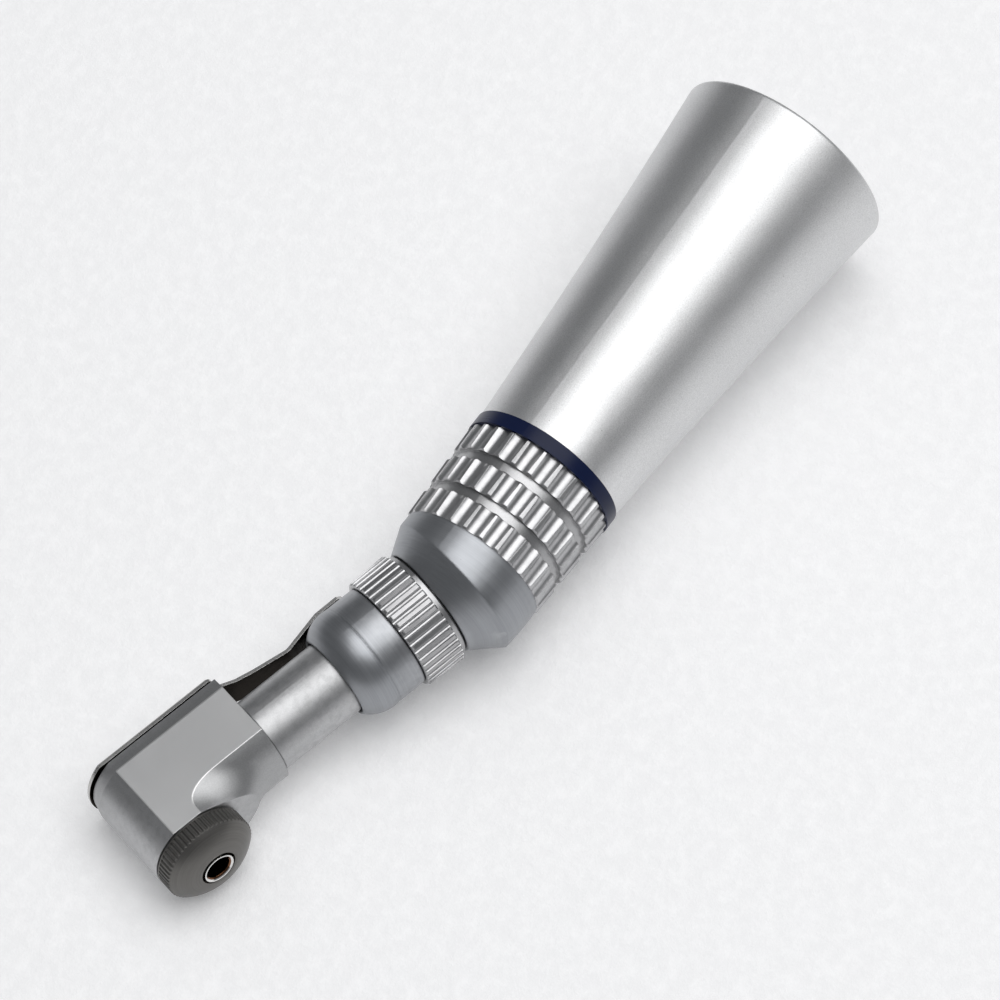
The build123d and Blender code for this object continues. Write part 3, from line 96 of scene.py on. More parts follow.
class NodeSheet:
    """Small helper that adds and joins shader nodes in one tree."""

    COLUMN_WIDTH = 190
    ROW_DROP = 60
    ROWS = 5

    def __init__(self, tree: bpy.types.NodeTree) -> None:
        """Remember the tree and start at its left side."""
        self.tree = tree
        self.column = 0

    def add(self, kind: str, **settings: object) -> bpy.types.Node:
        """Add a node and set its properties.

        Args:
            kind: the node's type name.
            settings: properties set on the node by name.

        Returns:
            The new node.
        """
        made = self.tree.nodes.new(kind)
        made.location = (self.column * self.COLUMN_WIDTH, -self.ROW_DROP * (self.column % self.ROWS))
        self.column += 1
        for key, value in settings.items():
            setattr(made, key, value)
        return made

    def join(self, source: bpy.types.NodeSocket, target: bpy.types.NodeSocket) -> None:
        """Link one socket to another."""
        self.tree.links.new(source, target)

    def math(self, operation: str, first: object, second: object = 0.0) -> bpy.types.NodeSocket:
        """Math node on two sockets or numbers.

        Args:
            operation: the node's operation.
            first: a socket or a number.
            second: a socket or a number.

        Returns:
            The node's output socket.
        """
        made = self.add("ShaderNodeMath", operation=operation)
        for index, value in enumerate((first, second)):
            if isinstance(value, bpy.types.NodeSocket):
                self.join(value, made.inputs[index])
            else:
                made.inputs[index].default_value = value
        return made.outputs[0]

    def spread(
        self, value: bpy.types.NodeSocket, low: float, high: float, to: tuple[float, float] = (0.0, 1.0)
    ) -> bpy.types.NodeSocket:
        """Map a stretch of values smoothly onto another.

        Args:
            value: the socket to map.
            low: start of the stretch.
            high: end of the stretch.
            to: the two values that it becomes.

        Returns:
            The mapped socket.
        """
        made = self.add("ShaderNodeMapRange", interpolation_type="SMOOTHSTEP")
        self.join(value, made.inputs["Value"])
        made.inputs["From Min"].default_value = low
        made.inputs["From Max"].default_value = high
        made.inputs["To Min"].default_value = to[0]
        made.inputs["To Max"].default_value = to[1]
        return made.outputs["Result"]

    def noise(
        self, vector: bpy.types.NodeSocket, scale: object, detail: float, roughness: float = 0.6
    ) -> bpy.types.NodeSocket:
        """Noise value at a position.

        Args:
            vector: the position socket.
            scale: a socket or a number, per metre.
            detail: octaves of the noise.
            roughness: weight of the finer octaves.

        Returns:
            The noise's value socket.
        """
        made = self.add("ShaderNodeTexNoise")
        self.join(vector, made.inputs["Vector"])
        if isinstance(scale, bpy.types.NodeSocket):
            self.join(scale, made.inputs["Scale"])
        else:
            made.inputs["Scale"].default_value = scale
        made.inputs["Detail"].default_value = detail
        made.inputs["Roughness"].default_value = roughness
        return made.outputs["Fac"]

    def axis_distance(self, x: bpy.types.NodeSocket, y: bpy.types.NodeSocket) -> bpy.types.NodeSocket:
        """Distance from an axis.

        Args:
            x: first coordinate across the axis.
            y: second coordinate across the axis.

        Returns:
            The distance's socket.
        """
        squares = self.math("ADD", self.math("MULTIPLY", x, x), self.math("MULTIPLY", y, y))
        return self.math("SQRT", squares)

    def weigh(
        self, first: bpy.types.NodeSocket, second: bpy.types.NodeSocket, share: float
    ) -> bpy.types.NodeSocket:
        """Weighted sum of two values.

        Args:
            first: the first value's socket.
            second: the second value's socket.
            share: weight of the first; the second has the rest.

        Returns:
            The sum's socket.
        """
        rest = self.math("MULTIPLY", second, 1 - share)
        return self.math("ADD", self.math("MULTIPLY", first, share), rest)

    def cover(
        self, under: bpy.types.NodeSocket, color: tuple[float, float, float], mask: bpy.types.NodeSocket,
        blend: str = "MIX",
    ) -> bpy.types.NodeSocket:
        """Lay a plain colour over another one through a mask.

        Args:
            under: the colour socket below.
            color: the plain colour.
            mask: where it covers, from 0 to 1.
            blend: how the two are mixed.

        Returns:
            The mixed colour's socket.
        """
        made = self.add("ShaderNodeMix", data_type="RGBA", blend_type=blend)
        self.join(under, made.inputs["A"])
        made.inputs["B"].default_value = (*color, 1)
        self.join(mask, made.inputs["Factor"])
        return made.outputs["Result"]

    def ramp(
        self, dark: tuple[float, ...], light: tuple[float, ...], value: bpy.types.NodeSocket
    ) -> bpy.types.NodeSocket:
        """Colour between two plain ones.

        Args:
            dark: colour where the value is 0.
            light: colour where the value is 1.
            value: the value's socket.

        Returns:
            The colour socket.
        """
        made = self.add("ShaderNodeMix", data_type="RGBA", blend_type="MIX")
        made.inputs["A"].default_value = (*dark, 1)
        made.inputs["B"].default_value = (*light, 1)
        self.join(value, made.inputs["Factor"])
        return made.outputs["Result"]


def new_group(
    name: str, inputs: dict[str, float], outputs: tuple[str, ...]
) -> tuple[bpy.types.NodeTree, NodeSheet, bpy.types.Node, bpy.types.Node]:
    """Empty shader node group with a Vector input, float inputs and float outputs.

    Args:
        name: the group's name.
        inputs: float inputs and their defaults.
        outputs: names of the float outputs.

    Returns:
        The group's tree, a sheet to draw on, and its input and output nodes.
    """
    tree = bpy.data.node_groups.new(name, "ShaderNodeTree")
    tree.interface.new_socket("Vector", in_out="INPUT", socket_type="NodeSocketVector")
    for label, value in inputs.items():
        made = tree.interface.new_socket(label, in_out="INPUT", socket_type="NodeSocketFloat")
        made.default_value = value
    for label in outputs:
        tree.interface.new_socket(label, in_out="OUTPUT", socket_type="NodeSocketFloat")
    sheet = NodeSheet(tree)
    return tree, sheet, sheet.add("NodeGroupInput"), sheet.add("NodeGroupOutput")


FINE_PIT_SCALE = 2.7        # over the coarse pits' scale
COARSE_PIT_SHARE = 0.65     # of a blasted face's height
FINE_LINE_SHARE = 0.6       # of a turned face's tone
BROAD_LINE_SCALE = 0.12     # over the fine lines' scale
HANDLED = (0.35, 0.68)      # noise values between which the sheen sets in
CLEAN_SHARE = 0.86          # share of the cells that hold no speck
BREAKUP = (0.3, 0.6)        # noise values between which the wear fills in
LEAST_WEAR = 0.45           # where the noise breaks it up
TONE_SPAN = (0.3, 0.7)      # grain values of the darkest and the lightest tone
# between these cosines the side that faces along the bur takes its painted shade
FACING_SPAN = (0.3, 0.7)    # cosines between which a side turns dark
TONE_TO_ROUGHNESS = 0.12
BEVEL_SAMPLES = 4
DUST = (0.35, 0.34, 0.33)


class SurfaceEffects:
    """Node groups that several finishes share, each built once."""

    def __init__(self) -> None:
        """Build every group."""
        self.blasted = self._blasted()
        self.turned = self._turned()
        self.handling = self._handling()
        self.specks = self._specks()
        self.edge_wear = self._edge_wear()

    @staticmethod
    def _blasted() -> bpy.types.NodeTree:
        """Pits left by bead blasting: a height that also serves as the tone."""
        tree, sheet, into, out = new_group("blasted_grain", {"Scale": 9000.0}, ("Height",))
        coarse = sheet.noise(into.outputs["Vector"], into.outputs["Scale"], 2.0, 0.75)
        finer = sheet.math("MULTIPLY", into.outputs["Scale"], FINE_PIT_SCALE)
        fine = sheet.noise(into.outputs["Vector"], finer, 1.0, 0.5)
        sheet.join(sheet.weigh(coarse, fine, COARSE_PIT_SHARE), out.inputs["Height"])
        return tree

    @staticmethod
    def _turned() -> bpy.types.NodeTree:
        """Fine lines round a turning axis, on the side and on end faces alike."""
        settings = {"Scale": 9000.0, "Wander": 0.35}
        tree, sheet, into, out = new_group("turned_lines", settings, ("Height", "Tone"))
        split = sheet.add("ShaderNodeSeparateXYZ")
        sheet.join(into.outputs["Vector"], split.inputs[0])
        x, y, z = split.outputs
        radius = sheet.axis_distance(x, y)
        angle = sheet.math("ARCTAN2", y, x)
        join = sheet.add("ShaderNodeCombineXYZ")
        sheet.join(sheet.math("MULTIPLY", radius, into.outputs["Scale"]), join.inputs[0])
        sheet.join(sheet.math("MULTIPLY", angle, into.outputs["Wander"]), join.inputs[1])
        sheet.join(sheet.math("MULTIPLY", z, into.outputs["Scale"]), join.inputs[2])
        fine = sheet.noise(join.outputs[0], 1.0, 3.0, 0.7)
        broad = sheet.noise(join.outputs[0], BROAD_LINE_SCALE, 1.0, 0.5)
        sheet.join(fine, out.inputs["Height"])
        sheet.join(sheet.weigh(fine, broad, FINE_LINE_SHARE), out.inputs["Tone"])
        return tree

    @staticmethod
    def _handling() -> bpy.types.NodeTree:
        """Slow change of sheen where hands have polished a surface."""
        tree, sheet, into, out = new_group("handling_sheen", {"Scale": 160.0}, ("Amount",))
        value = sheet.noise(into.outputs["Vector"], into.outputs["Scale"], 3.0, 0.6)
        sheet.join(sheet.spread(value, *HANDLED), out.inputs["Amount"])
        return tree

    @staticmethod
    def _specks() -> bpy.types.NodeTree:
        """Sparse dark specks of dust and pin holes."""
        tree, sheet, into, out = new_group("dust_specks", {"Scale": 1200.0, "Size": 0.055}, ("Amount",))
        cells = sheet.add("ShaderNodeTexVoronoi", feature="F1")
        sheet.join(into.outputs["Vector"], cells.inputs["Vector"])
        sheet.join(into.outputs["Scale"], cells.inputs["Scale"])
        shade = sheet.add("ShaderNodeSeparateXYZ")
        sheet.join(cells.outputs["Color"], shade.inputs[0])
        near = sheet.math("LESS_THAN", cells.outputs["Distance"], into.outputs["Size"])
        rare = sheet.math("GREATER_THAN", shade.outputs[0], CLEAN_SHARE)
        sheet.join(sheet.math("MULTIPLY", near, rare), out.inputs["Amount"])
        return tree

    @staticmethod
    def _edge_wear() -> bpy.types.NodeTree:
        """Mask of raised edges, broken up by a noise."""
        settings = {"Scale": 1500.0, "Start": 0.53, "End": 0.6}
        tree, sheet, into, out = new_group("edge_wear", settings, ("Amount",))
        shape = sheet.add("ShaderNodeNewGeometry")
        raised = sheet.add("ShaderNodeMapRange")
        sheet.join(shape.outputs["Pointiness"], raised.inputs["Value"])
        sheet.join(into.outputs["Start"], raised.inputs["From Min"])
        sheet.join(into.outputs["End"], raised.inputs["From Max"])
        breakup = sheet.noise(into.outputs["Vector"], into.outputs["Scale"], 2.0)
        broken = sheet.spread(breakup, *BREAKUP, (LEAST_WEAR, 1.0))
        sheet.join(sheet.math("MULTIPLY", raised.outputs["Result"], broken), out.inputs["Amount"])
        return tree


@dataclass(frozen=True)
class InnerShade:
    """Painted shade: a darker colour inside a bore or, with no bore radius, on the side that faces along the
    bur.
    """

    color: tuple[float, float, float]
    bore_radius: float = 0.0


@dataclass(frozen=True)
class LitGroundFlats:
    """Lighter colour of the two ground side flats, past a distance from the axis: partly their finish,
    partly painted light that the flats catch.
    """

    color: tuple[float, float, float]
    distance: float


@dataclass(frozen=True)
class Finish:
    """One surface finish, from its base colour to its finest grain."""

    name: str
    slot: str
    color: tuple[float, float, float]
    roughness: float
    grain: Grain
    metallic: float = 1.0
    grain_scale: float = 9000.0
    grain_depth: float = 2.0e-6
    tone_swing: float = 0.12
    sheen_swing: float = 0.06
    wear: float = 0.25
    wear_color: tuple[float, float, float] = (0.85, 0.85, 0.86)
    specks: float = 0.4
    specular: float = 0.5
    round_edges: float = 0.06 * MM
    inner: InnerShade | None = None
    flats: LitGroundFlats | None = None

    def material(self, effects: SurfaceEffects, axis: Axis, layout: Layout) -> bpy.types.Material:
        """Material of this finish, with its lines running round one axis.

        Args:
            effects: the shared node groups.
            axis: the turning axis of the pieces that wear it.
            layout: places of the axes.

        Returns:
            The material, built once for each axis.
        """
        label = f"{self.name}_{axis.value}"
        known = bpy.data.materials.get(label)
        if known:
            return known
        made = bpy.data.materials.new(label)
        made.use_nodes = True
        tree = made.node_tree
        tree.nodes.clear()
        sheet = NodeSheet(tree)
        out = sheet.add("ShaderNodeOutputMaterial")
        shader = sheet.add("ShaderNodeBsdfPrincipled")
        sheet.join(shader.outputs["BSDF"], out.inputs["Surface"])
        shader.inputs["Metallic"].default_value = self.metallic
        shader.inputs["Specular IOR Level"].default_value = self.specular
        place = self._axis_place(sheet, layout.frames[axis])
        tone, height = self._grain_outputs(sheet, effects, place)
        handling = self._group(sheet, effects.handling, place, {})
        specks = self._group(sheet, effects.specks, place, {})
        wear = self._group(sheet, effects.edge_wear, place, {})
        color = self._base_color(sheet, tone, specks.outputs["Amount"], wear.outputs["Amount"])
        # painted shade in bores and on inner sides, and partly painted light on the ground flats
        if self.inner:
            color = self._inner_painted_shade(sheet, color, place, layout.bur)
        if self.flats:
            color = self._lit_flat_color(sheet, color, place)
        sheet.join(color, shader.inputs["Base Color"])
        swing = sheet.math("MULTIPLY", handling.outputs["Amount"], self.sheen_swing)
        rough = sheet.math("ADD", swing, self.roughness - self.sheen_swing / 2)
        lift = sheet.math("MULTIPLY", sheet.math("SUBTRACT", tone, 0.5), TONE_TO_ROUGHNESS)
        sheet.join(sheet.math("ADD", rough, lift), shader.inputs["Roughness"])
        bump = sheet.add("ShaderNodeBump")
        bump.inputs["Strength"].default_value = 1.0
        bump.inputs["Distance"].default_value = self.grain_depth
        sheet.join(height, bump.inputs["Height"])
        if self.round_edges:
            corner = sheet.add("ShaderNodeBevel", samples=BEVEL_SAMPLES)
            corner.inputs["Radius"].default_value = self.round_edges
            sheet.join(corner.outputs["Normal"], bump.inputs["Normal"])
        sheet.join(bump.outputs["Normal"], shader.inputs["Normal"])
        return made

    def _inner_painted_shade(
        self, sheet: NodeSheet, color: bpy.types.NodeSocket, place: bpy.types.NodeSocket, bur: Vector
    ) -> bpy.types.NodeSocket:
        """Colour with its bore or its inner side darkened by painted shade.

        Args:
            sheet: where the nodes go.
            color: the outer colour socket.
            place: the position socket in the axis frame.
            bur: direction that the inner side of a plate faces.

        Returns:
            The colour socket.
        """
        if self.inner.bore_radius:
            split = sheet.add("ShaderNodeSeparateXYZ")
            sheet.join(place, split.inputs[0])
            x, y, _ = split.outputs
            mask = sheet.math("LESS_THAN", sheet.axis_distance(x, y), self.inner.bore_radius)
        else:
            coordinates = sheet.add("ShaderNodeTexCoord")
            facing = sheet.add("ShaderNodeVectorMath", operation="DOT_PRODUCT")
            sheet.join(coordinates.outputs["Normal"], facing.inputs[0])
            facing.inputs[1].default_value = bur
            mask = sheet.spread(facing.outputs["Value"], *FACING_SPAN)
        return sheet.cover(color, self.inner.color, mask)

    def _lit_flat_color(
        self, sheet: NodeSheet, color: bpy.types.NodeSocket, place: bpy.types.NodeSocket
    ) -> bpy.types.NodeSocket:
        """Colour with the ground side flats lightened, partly by painted light.

        Args:
            sheet: where the nodes go.
            color: the colour socket of the rest.
            place: the position socket in the axis frame.

        Returns:
            The colour socket.
        """
        split = sheet.add("ShaderNodeSeparateXYZ")
        sheet.join(place, split.inputs[0])
        aside = sheet.math("ABSOLUTE", split.outputs[0])
        mask = sheet.math("GREATER_THAN", aside, self.flats.distance)
        return sheet.cover(color, self.flats.color, mask)

    @staticmethod
    def _axis_place(sheet: NodeSheet, matrix: Matrix) -> bpy.types.NodeSocket:
        """Object coordinates turned into the frame of an axis.

        Args:
            sheet: where the nodes go.
            matrix: from the axis frame to the row frame.

        Returns:
            The position socket in the axis frame.
        """
        coordinates = sheet.add("ShaderNodeTexCoord")
        mapping = sheet.add("ShaderNodeMapping", vector_type="POINT")
        inverse = matrix.inverted()
        mapping.inputs["Location"].default_value = inverse.translation
        mapping.inputs["Rotation"].default_value = inverse.to_euler("XYZ")
        sheet.join(coordinates.outputs["Object"], mapping.inputs["Vector"])
        return mapping.outputs["Vector"]

    @staticmethod
    def _group(
        sheet: NodeSheet, tree: bpy.types.NodeTree, place: bpy.types.NodeSocket, values: dict[str, float]
    ) -> bpy.types.Node:
        """Place a shared group and set its values.

        Args:
            sheet: where the node goes.
            tree: the group's tree.
            place: the position socket.
            values: values of the group's float inputs.

        Returns:
            The group node.
        """
        made = sheet.add("ShaderNodeGroup", node_tree=tree)
        sheet.join(place, made.inputs["Vector"])
        for label, value in values.items():
            made.inputs[label].default_value = value
        return made

    def _grain_outputs(
        self, sheet: NodeSheet, effects: SurfaceEffects, place: bpy.types.NodeSocket
    ) -> tuple[bpy.types.NodeSocket, bpy.types.NodeSocket]:
        """Tone and height sockets of this finish's grain.

        Args:
            sheet: where the nodes go.
            effects: the shared node groups.
            place: the position socket.

        Returns:
            The tone, about 0.5, and the height.
        """
        if self.grain is Grain.TURNED:
            lines = self._group(sheet, effects.turned, place, {"Scale": self.grain_scale})
            return lines.outputs["Tone"], lines.outputs["Height"]
        pits = self._group(sheet, effects.blasted, place, {"Scale": self.grain_scale})
        return pits.outputs["Height"], pits.outputs["Height"]

    def _base_color(
        self, sheet: NodeSheet, tone: bpy.types.NodeSocket, specks: bpy.types.NodeSocket,
        wear: bpy.types.NodeSocket,
    ) -> bpy.types.NodeSocket:
        """Base colour with its tone, worn edges and specks.

        Args:
            sheet: where the nodes go.
            tone: grain tone, about 0.5.
            specks: mask of dark specks.
            wear: mask of worn edges.

        Returns:
            The colour socket.
        """
        dark = [channel * (1 - self.tone_swing) for channel in self.color]
        light = [min(1.0, channel * (1 + self.tone_swing)) for channel in self.color]
        toned = sheet.ramp(dark, light, sheet.spread(tone, *TONE_SPAN))
        worn = sheet.cover(toned, self.wear_color, sheet.math("MULTIPLY", wear, self.wear))
        return sheet.cover(worn, DUST, sheet.math("MULTIPLY", specks, self.specks), "MULTIPLY")


BLASTED_SHEATH = Finish(
    "blasted_sheath", "blasted_steel", (0.67, 0.672, 0.675), 0.36, Grain.BLASTED,
    grain_scale=9500.0, grain_depth=3.0e-5, tone_swing=0.16, specks=0.6, round_edges=0.15 * MM,
)
NAVY_RING = Finish(
    "navy_ring", "navy_lacquer", (0.004, 0.009, 0.04), 0.3, Grain.TURNED,
    metallic=0.0, specular=0.2, wear=0.0, grain_depth=8.0e-7, specks=0.2,
)
FLUTED_NICKEL = Finish(
    "fluted_nickel", "bright_nickel", (0.4, 0.4, 0.405), 0.34, Grain.BLASTED,
    grain_depth=6.0e-6, round_edges=0.09 * MM,
)
RIBBED_NICKEL = Finish(
    "ribbed_nickel", "bright_nickel", (0.38, 0.38, 0.385), 0.33, Grain.BLASTED,
    grain_depth=4.0e-6, tone_swing=0.1, round_edges=0.0,
)
BLUE_GREY = Finish(
    "blue_grey_satin", "brushed_blue_grey", (0.33, 0.34, 0.358), 0.4, Grain.TURNED,
    grain_scale=7000.0, grain_depth=1.1e-5, tone_swing=0.1, wear=0.12, round_edges=0.25 * MM,
)
POLISHED = Finish(
    "polished_steel", "polished_steel", (0.47, 0.475, 0.48), 0.3, Grain.TURNED,
    grain_depth=1.5e-6, tone_swing=0.08,
)
# painted shade darkens the bore of the chuck tube, with a copper tint
BRIGHT_CHUCK = Finish(
    "bright_chuck", "bright_chuck", (0.78, 0.77, 0.75), 0.2, Grain.TURNED,
    grain_depth=1.0e-6, inner=InnerShade((0.16, 0.075, 0.04), bore_radius=1.3 * MM),
)
# the ground flats' lighter colour is partly painted light
SATIN_STEEL = Finish(
    "satin_steel", "satin_steel", (0.4, 0.402, 0.406), 0.43, Grain.BLASTED,
    grain_depth=8.0e-6, round_edges=0.12 * MM, flats=LitGroundFlats((0.74, 0.74, 0.74), 4.22 * MM),
)
GUNMETAL = Finish(
    "gunmetal", "gunmetal", (0.16, 0.155, 0.147), 0.42, Grain.TURNED,
    grain_depth=2.5e-6, wear=0.0, round_edges=0.08 * MM,
)
# painted shade darkens the latch plate's side that faces along the bur, towards the dark gap
SPRING_STEEL = Finish(
    "spring_steel", "spring_steel", (0.5, 0.49, 0.475), 0.27, Grain.BLASTED,
    grain_scale=12000.0, inner=InnerShade((0.03, 0.024, 0.018)),
)
MACHINED = Finish("machined_steel", "machined_steel", (0.5, 0.51, 0.52), 0.3, Grain.TURNED)
GEAR_STEEL = Finish(
    "gear_steel", "gear_steel", (0.42, 0.42, 0.43), 0.3, Grain.BLASTED, grain_scale=16000.0,
)
BEARING_STEEL = Finish(
    "bearing_steel", "bearing_steel", (0.7, 0.7, 0.72), 0.14, Grain.TURNED, grain_depth=4.0e-7,
)
BRONZE = Finish("bearing_bronze", "bearing_bronze", (0.55, 0.36, 0.16), 0.32, Grain.TURNED)
BRASS = Finish("cage_brass", "cage_brass", (0.68, 0.5, 0.2), 0.3, Grain.TURNED)
RUBBER = Finish(
    "seal_rubber", "seal_rubber", (0.03, 0.03, 0.03), 0.6, Grain.BLASTED, metallic=0.0, wear=0.0, specks=0.2,
)
FINISHES = {finish.slot: finish for finish in (
    BLASTED_SHEATH, NAVY_RING, FLUTED_NICKEL, BLUE_GREY, POLISHED, SATIN_STEEL, GUNMETAL, SPRING_STEEL,
    MACHINED, GEAR_STEEL, BEARING_STEEL, BRONZE, BRASS, RUBBER,
)}


# ------------------------------------------------------------------ sub-assemblies
@dataclass
class SubAssembly:
    """A group of pieces that are made and dressed together."""

    layout: Layout
    effects: SurfaceEffects
    axis: Axis = Axis.SHEATH
    nodes: tuple[str, ...] = ()
    own_finishes: dict[str, Finish] = field(default_factory=dict)

    def build(self) -> None:
        """Dress every carried-over node of the group."""
        slots = {part["node"]: part["material_slot"] for part in frame["record"]["subparts"]}
        for name in self.nodes:
            finish = self.own_finishes.get(name) or FINISHES[slots[name]]
            self.paint(frame["nodes"][name], finish)
            LOG.info("%s: %s", name, finish.name)

    def paint(self, piece: bpy.types.Object, finish: Finish) -> None:
        """Put one finish on all of a piece's slots.

        Args:
            piece: the object to paint.
            finish: its finish.
        """
        material = finish.material(self.effects, self.axis, self.layout)
        if not piece.data.materials:
            piece.data.materials.append(material)
        for index in range(len(piece.data.materials)):
            piece.data.materials[index] = material


@dataclass
class Sheath(SubAssembly):
    """Flared shell, the navy ring in front of it and the seal inside."""

    nodes: tuple[str, ...] = ("outer_sheath", "colour_ring", "sheath_seal")


@dataclass
class Grip(SubAssembly):
    """Collar with its three fluted bands."""

    nodes: tuple[str, ...] = ("grip_collar",)
    own_finishes: dict[str, Finish] = field(default_factory=lambda: {"grip_collar": FLUTED_NICKEL})


@dataclass
class MotorCoupling(SubAssembly):
    """Socket for the motor and the ring that holds it."""

    nodes: tuple[str, ...] = ("motor_socket", "snap_ring")


@dataclass
class DriveLine(SubAssembly):
    """Rear shaft with its barrel, bearings, gear and sprung clutch."""

    nodes: tuple[str, ...] = (
        "bearing_barrel", "barrel_circlip", "preload_disc_spring",
        "drive_front_bearing_outer_ring", "drive_front_bearing_inner_ring", "drive_front_bearing_balls",
        "drive_front_bearing_cage", "drive_rear_bearing_outer_ring", "drive_rear_bearing_inner_ring",
        "drive_rear_bearing_balls", "drive_rear_bearing_cage", "drive_shaft", "bend_drive_gear",
        "clutch_cross_pin", "clutch_spring_seat", "clutch_spring", "clutch_dog",
    )


@dataclass
class Bend(SubAssembly):
    """Domed housing between the grip and the neck."""

    nodes: tuple[str, ...] = ("bend_housing",)


@dataclass
class Neck(SubAssembly):
    """Neck shaft and its bearing, the core, the ribbed nut and the domed sleeve."""

    axis: Axis = Axis.NECK
    nodes: tuple[str, ...] = (
        "neck_core", "neck_circlip", "neck_bearing_outer_ring", "neck_bearing_inner_ring",
        "neck_bearing_balls", "neck_bearing_cage", "neck_shaft", "neck_front_bush", "bend_driven_gear",
        "locking_nut", "neck_sleeve", "locating_pin",
    )
    own_finishes: dict[str, Finish] = field(default_factory=lambda: {"locking_nut": RIBBED_NICKEL})


@dataclass
class Head(SubAssembly):
    """Head block with its tube and the pinion inside."""

    axis: Axis = Axis.NECK
    nodes: tuple[str, ...] = ("head_housing", "head_pinion")


@dataclass
class Chuck(SubAssembly):
    """Knurled cap, chuck tube, its bushes and its gear."""

    axis: Axis = Axis.BUR
    nodes: tuple[str, ...] = (
        "head_cap", "chuck_tube", "chuck_gear", "chuck_rear_bush", "chuck_front_bush", "chuck_thrust_washer",
    )
    own_finishes: dict[str, Finish] = field(default_factory=lambda: {"chuck_tube": BRIGHT_CHUCK})


@dataclass
class Latch(SubAssembly):
    """Swinging plate with its tail, tongue, rivets and pivot."""

    axis: Axis = Axis.BUR
    nodes: tuple[str, ...] = (
        "latch_lever", "latch_tongue", "latch_rivets", "latch_pivot_screw", "latch_pivot_washer",
    )


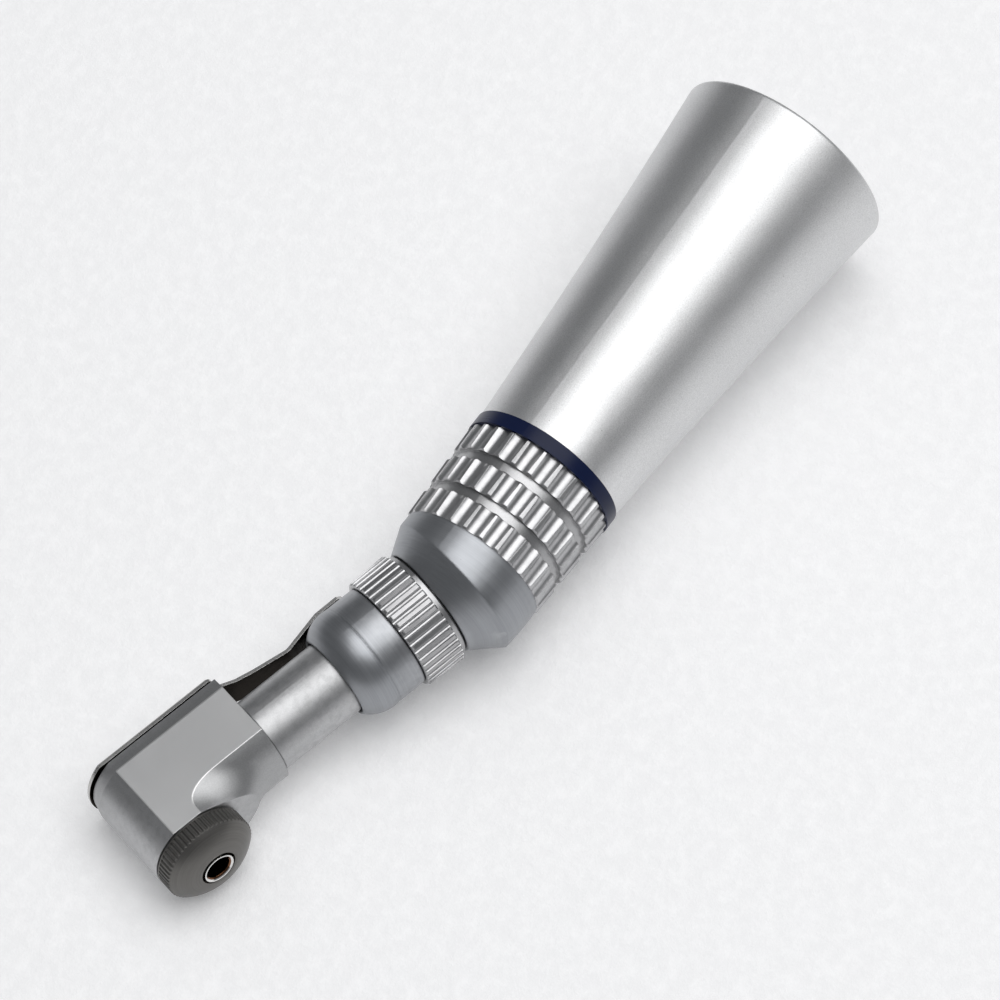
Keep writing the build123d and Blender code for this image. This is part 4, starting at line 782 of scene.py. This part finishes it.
# ------------------------------------------------------------------ studio
@dataclass
class Studio:
    """Floor, lights, surroundings and camera."""

    layout: Layout
    floor_size: float = 3.0
    floor_glow: float = 0.2
    paper_roughness: float = 0.85
    paper_specular: float = 0.2
    paper_dark: tuple[float, float, float] = (0.85, 0.85, 0.857)
    paper_light: tuple[float, float, float] = (0.9, 0.9, 0.906)
    fibre_scale: float = 650.0
    fibre_height: float = 0.4 * MM
    fibre_strength: float = 0.25
    room_color: tuple[float, float, float] = (0.95, 0.97, 1.0)
    room_strength: float = 0.2
    box_place: tuple[float, float, float] = (0.15, -0.19, 0.8)
    box_size: tuple[float, float] = (0.85, 0.84)
    box_power: float = 5.1
    sun_power: float = 0.35
    sun_spread: float = 70.0
    sun_direction: tuple[float, float, float] = (-0.15, -0.35, -1.0)
    camera_place: tuple[float, float, float] = (-161.36 * MM, -230.62 * MM, 447.83 * MM)
    camera_right: tuple[float, float, float] = (0.580128, -0.791759, -0.191231)
    camera_down: tuple[float, float, float] = (-0.749747, -0.427309, -0.505258)
    lens: float = 216.0
    sensor: float = 36.0
    clip: tuple[float, float] = (0.01, 10.0)

    def build(self) -> None:
        """Make everything round the object."""
        self.floor()
        self.surroundings()
        self.lights()
        self.camera()

    def floor(self) -> None:
        """Plain pale floor with a faint paper texture."""
        bpy.ops.object.select_all(action="DESELECT")
        bpy.ops.mesh.primitive_plane_add(size=self.floor_size, location=(0, 0, 0))
        plane = bpy.context.object
        plane.name = "studio_floor"
        material = bpy.data.materials.new("studio_paper")
        material.use_nodes = True
        shader = material.node_tree.nodes["Principled BSDF"]
        shader.inputs["Roughness"].default_value = self.paper_roughness
        shader.inputs["Specular IOR Level"].default_value = self.paper_specular
        sheet = NodeSheet(material.node_tree)
        coordinates = sheet.add("ShaderNodeTexCoord")
        fibre = sheet.noise(coordinates.outputs["Object"], self.fibre_scale, 5.0, 0.7)
        fibre = sheet.spread(fibre, *TONE_SPAN)
        tint = sheet.ramp(self.paper_dark, self.paper_light, fibre)
        sheet.join(tint, shader.inputs["Base Color"])
        bump = sheet.add("ShaderNodeBump")
        bump.inputs["Distance"].default_value = self.fibre_height
        bump.inputs["Strength"].default_value = self.fibre_strength
        sheet.join(fibre, bump.inputs["Height"])
        sheet.join(bump.outputs["Normal"], shader.inputs["Normal"])
        sheet.join(tint, shader.inputs["Emission Color"])
        shader.inputs["Emission Strength"].default_value = self.floor_glow
        plane.data.materials.append(material)

    def surroundings(self) -> None:
        """Soft grey room that metal reflects."""
        world = bpy.data.worlds.new("studio_room")
        bpy.context.scene.world = world
        world.use_nodes = True
        background = world.node_tree.nodes["Background"]
        background.inputs["Color"].default_value = (*self.room_color, 1)
        background.inputs["Strength"].default_value = self.room_strength
        bpy.context.scene.view_settings.view_transform = "Standard"

    def lights(self) -> None:
        """Overhead soft box that the metal reflects, and a soft sun that only lights the floor."""
        self.area("soft_box", self.box_place, *self.box_size, self.box_power)
        sun = bpy.data.lights.new("floor_light", "SUN")
        sun.energy = self.sun_power
        sun.angle = math.radians(self.sun_spread)
        lamp = bpy.data.objects.new("floor_light", sun)
        bpy.context.scene.collection.objects.link(lamp)
        lamp.rotation_euler = Vector(self.sun_direction).to_track_quat("-Z", "Y").to_euler()
        lamp.visible_glossy = False

    @staticmethod
    def area(
        name: str, place: tuple[float, float, float], width: float, height: float, power: float
    ) -> None:
        """One rectangular light that faces the object.

        Args:
            name: the light's name.
            place: its centre in metres.
            width: its width in metres.
            height: its height in metres.
            power: its power in watts.
        """
        light = bpy.data.lights.new(name, "AREA")
        light.shape = "RECTANGLE"
        light.size = width
        light.size_y = height
        light.energy = power
        lamp = bpy.data.objects.new(name, light)
        bpy.context.scene.collection.objects.link(lamp)
        lamp.location = place
        lamp.rotation_euler = (-Vector(place)).to_track_quat("-Z", "Y").to_euler()

    def camera(self) -> None:
        """Long lens camera, placed in the frame of the handpiece's own axes."""
        frame_axes = self.layout.frames[Axis.SHEATH]
        side, across, back = (frame_axes.to_3x3().col[index] for index in range(3))
        turn = Matrix((back, -across, side)).transposed()
        right = turn @ Vector(self.camera_right)
        up = -(turn @ Vector(self.camera_down))
        matrix = Matrix((right, up, right.cross(up))).transposed().to_4x4()
        matrix.translation = self.layout.bend + turn @ Vector(self.camera_place)
        lens = bpy.data.cameras.new("studio_camera")
        lens.lens = self.lens
        lens.sensor_width = self.sensor
        lens.clip_start, lens.clip_end = self.clip
        camera = bpy.data.objects.new("studio_camera", lens)
        bpy.context.scene.collection.objects.link(camera)
        camera.matrix_world = matrix
        bpy.context.scene.camera = camera


def main() -> None:
    """Build the handpiece's looks in order and log each step."""
    logging.basicConfig(level=logging.INFO, format="%(name)s: %(message)s")
    layout = Layout()
    effects = SurfaceEffects()
    for kind in (Sheath, Grip, MotorCoupling, DriveLine, Bend, Neck, Head, Chuck, Latch):
        kind(layout, effects).build()
    Studio(layout).build()


if __name__ == "__main__":
    main()
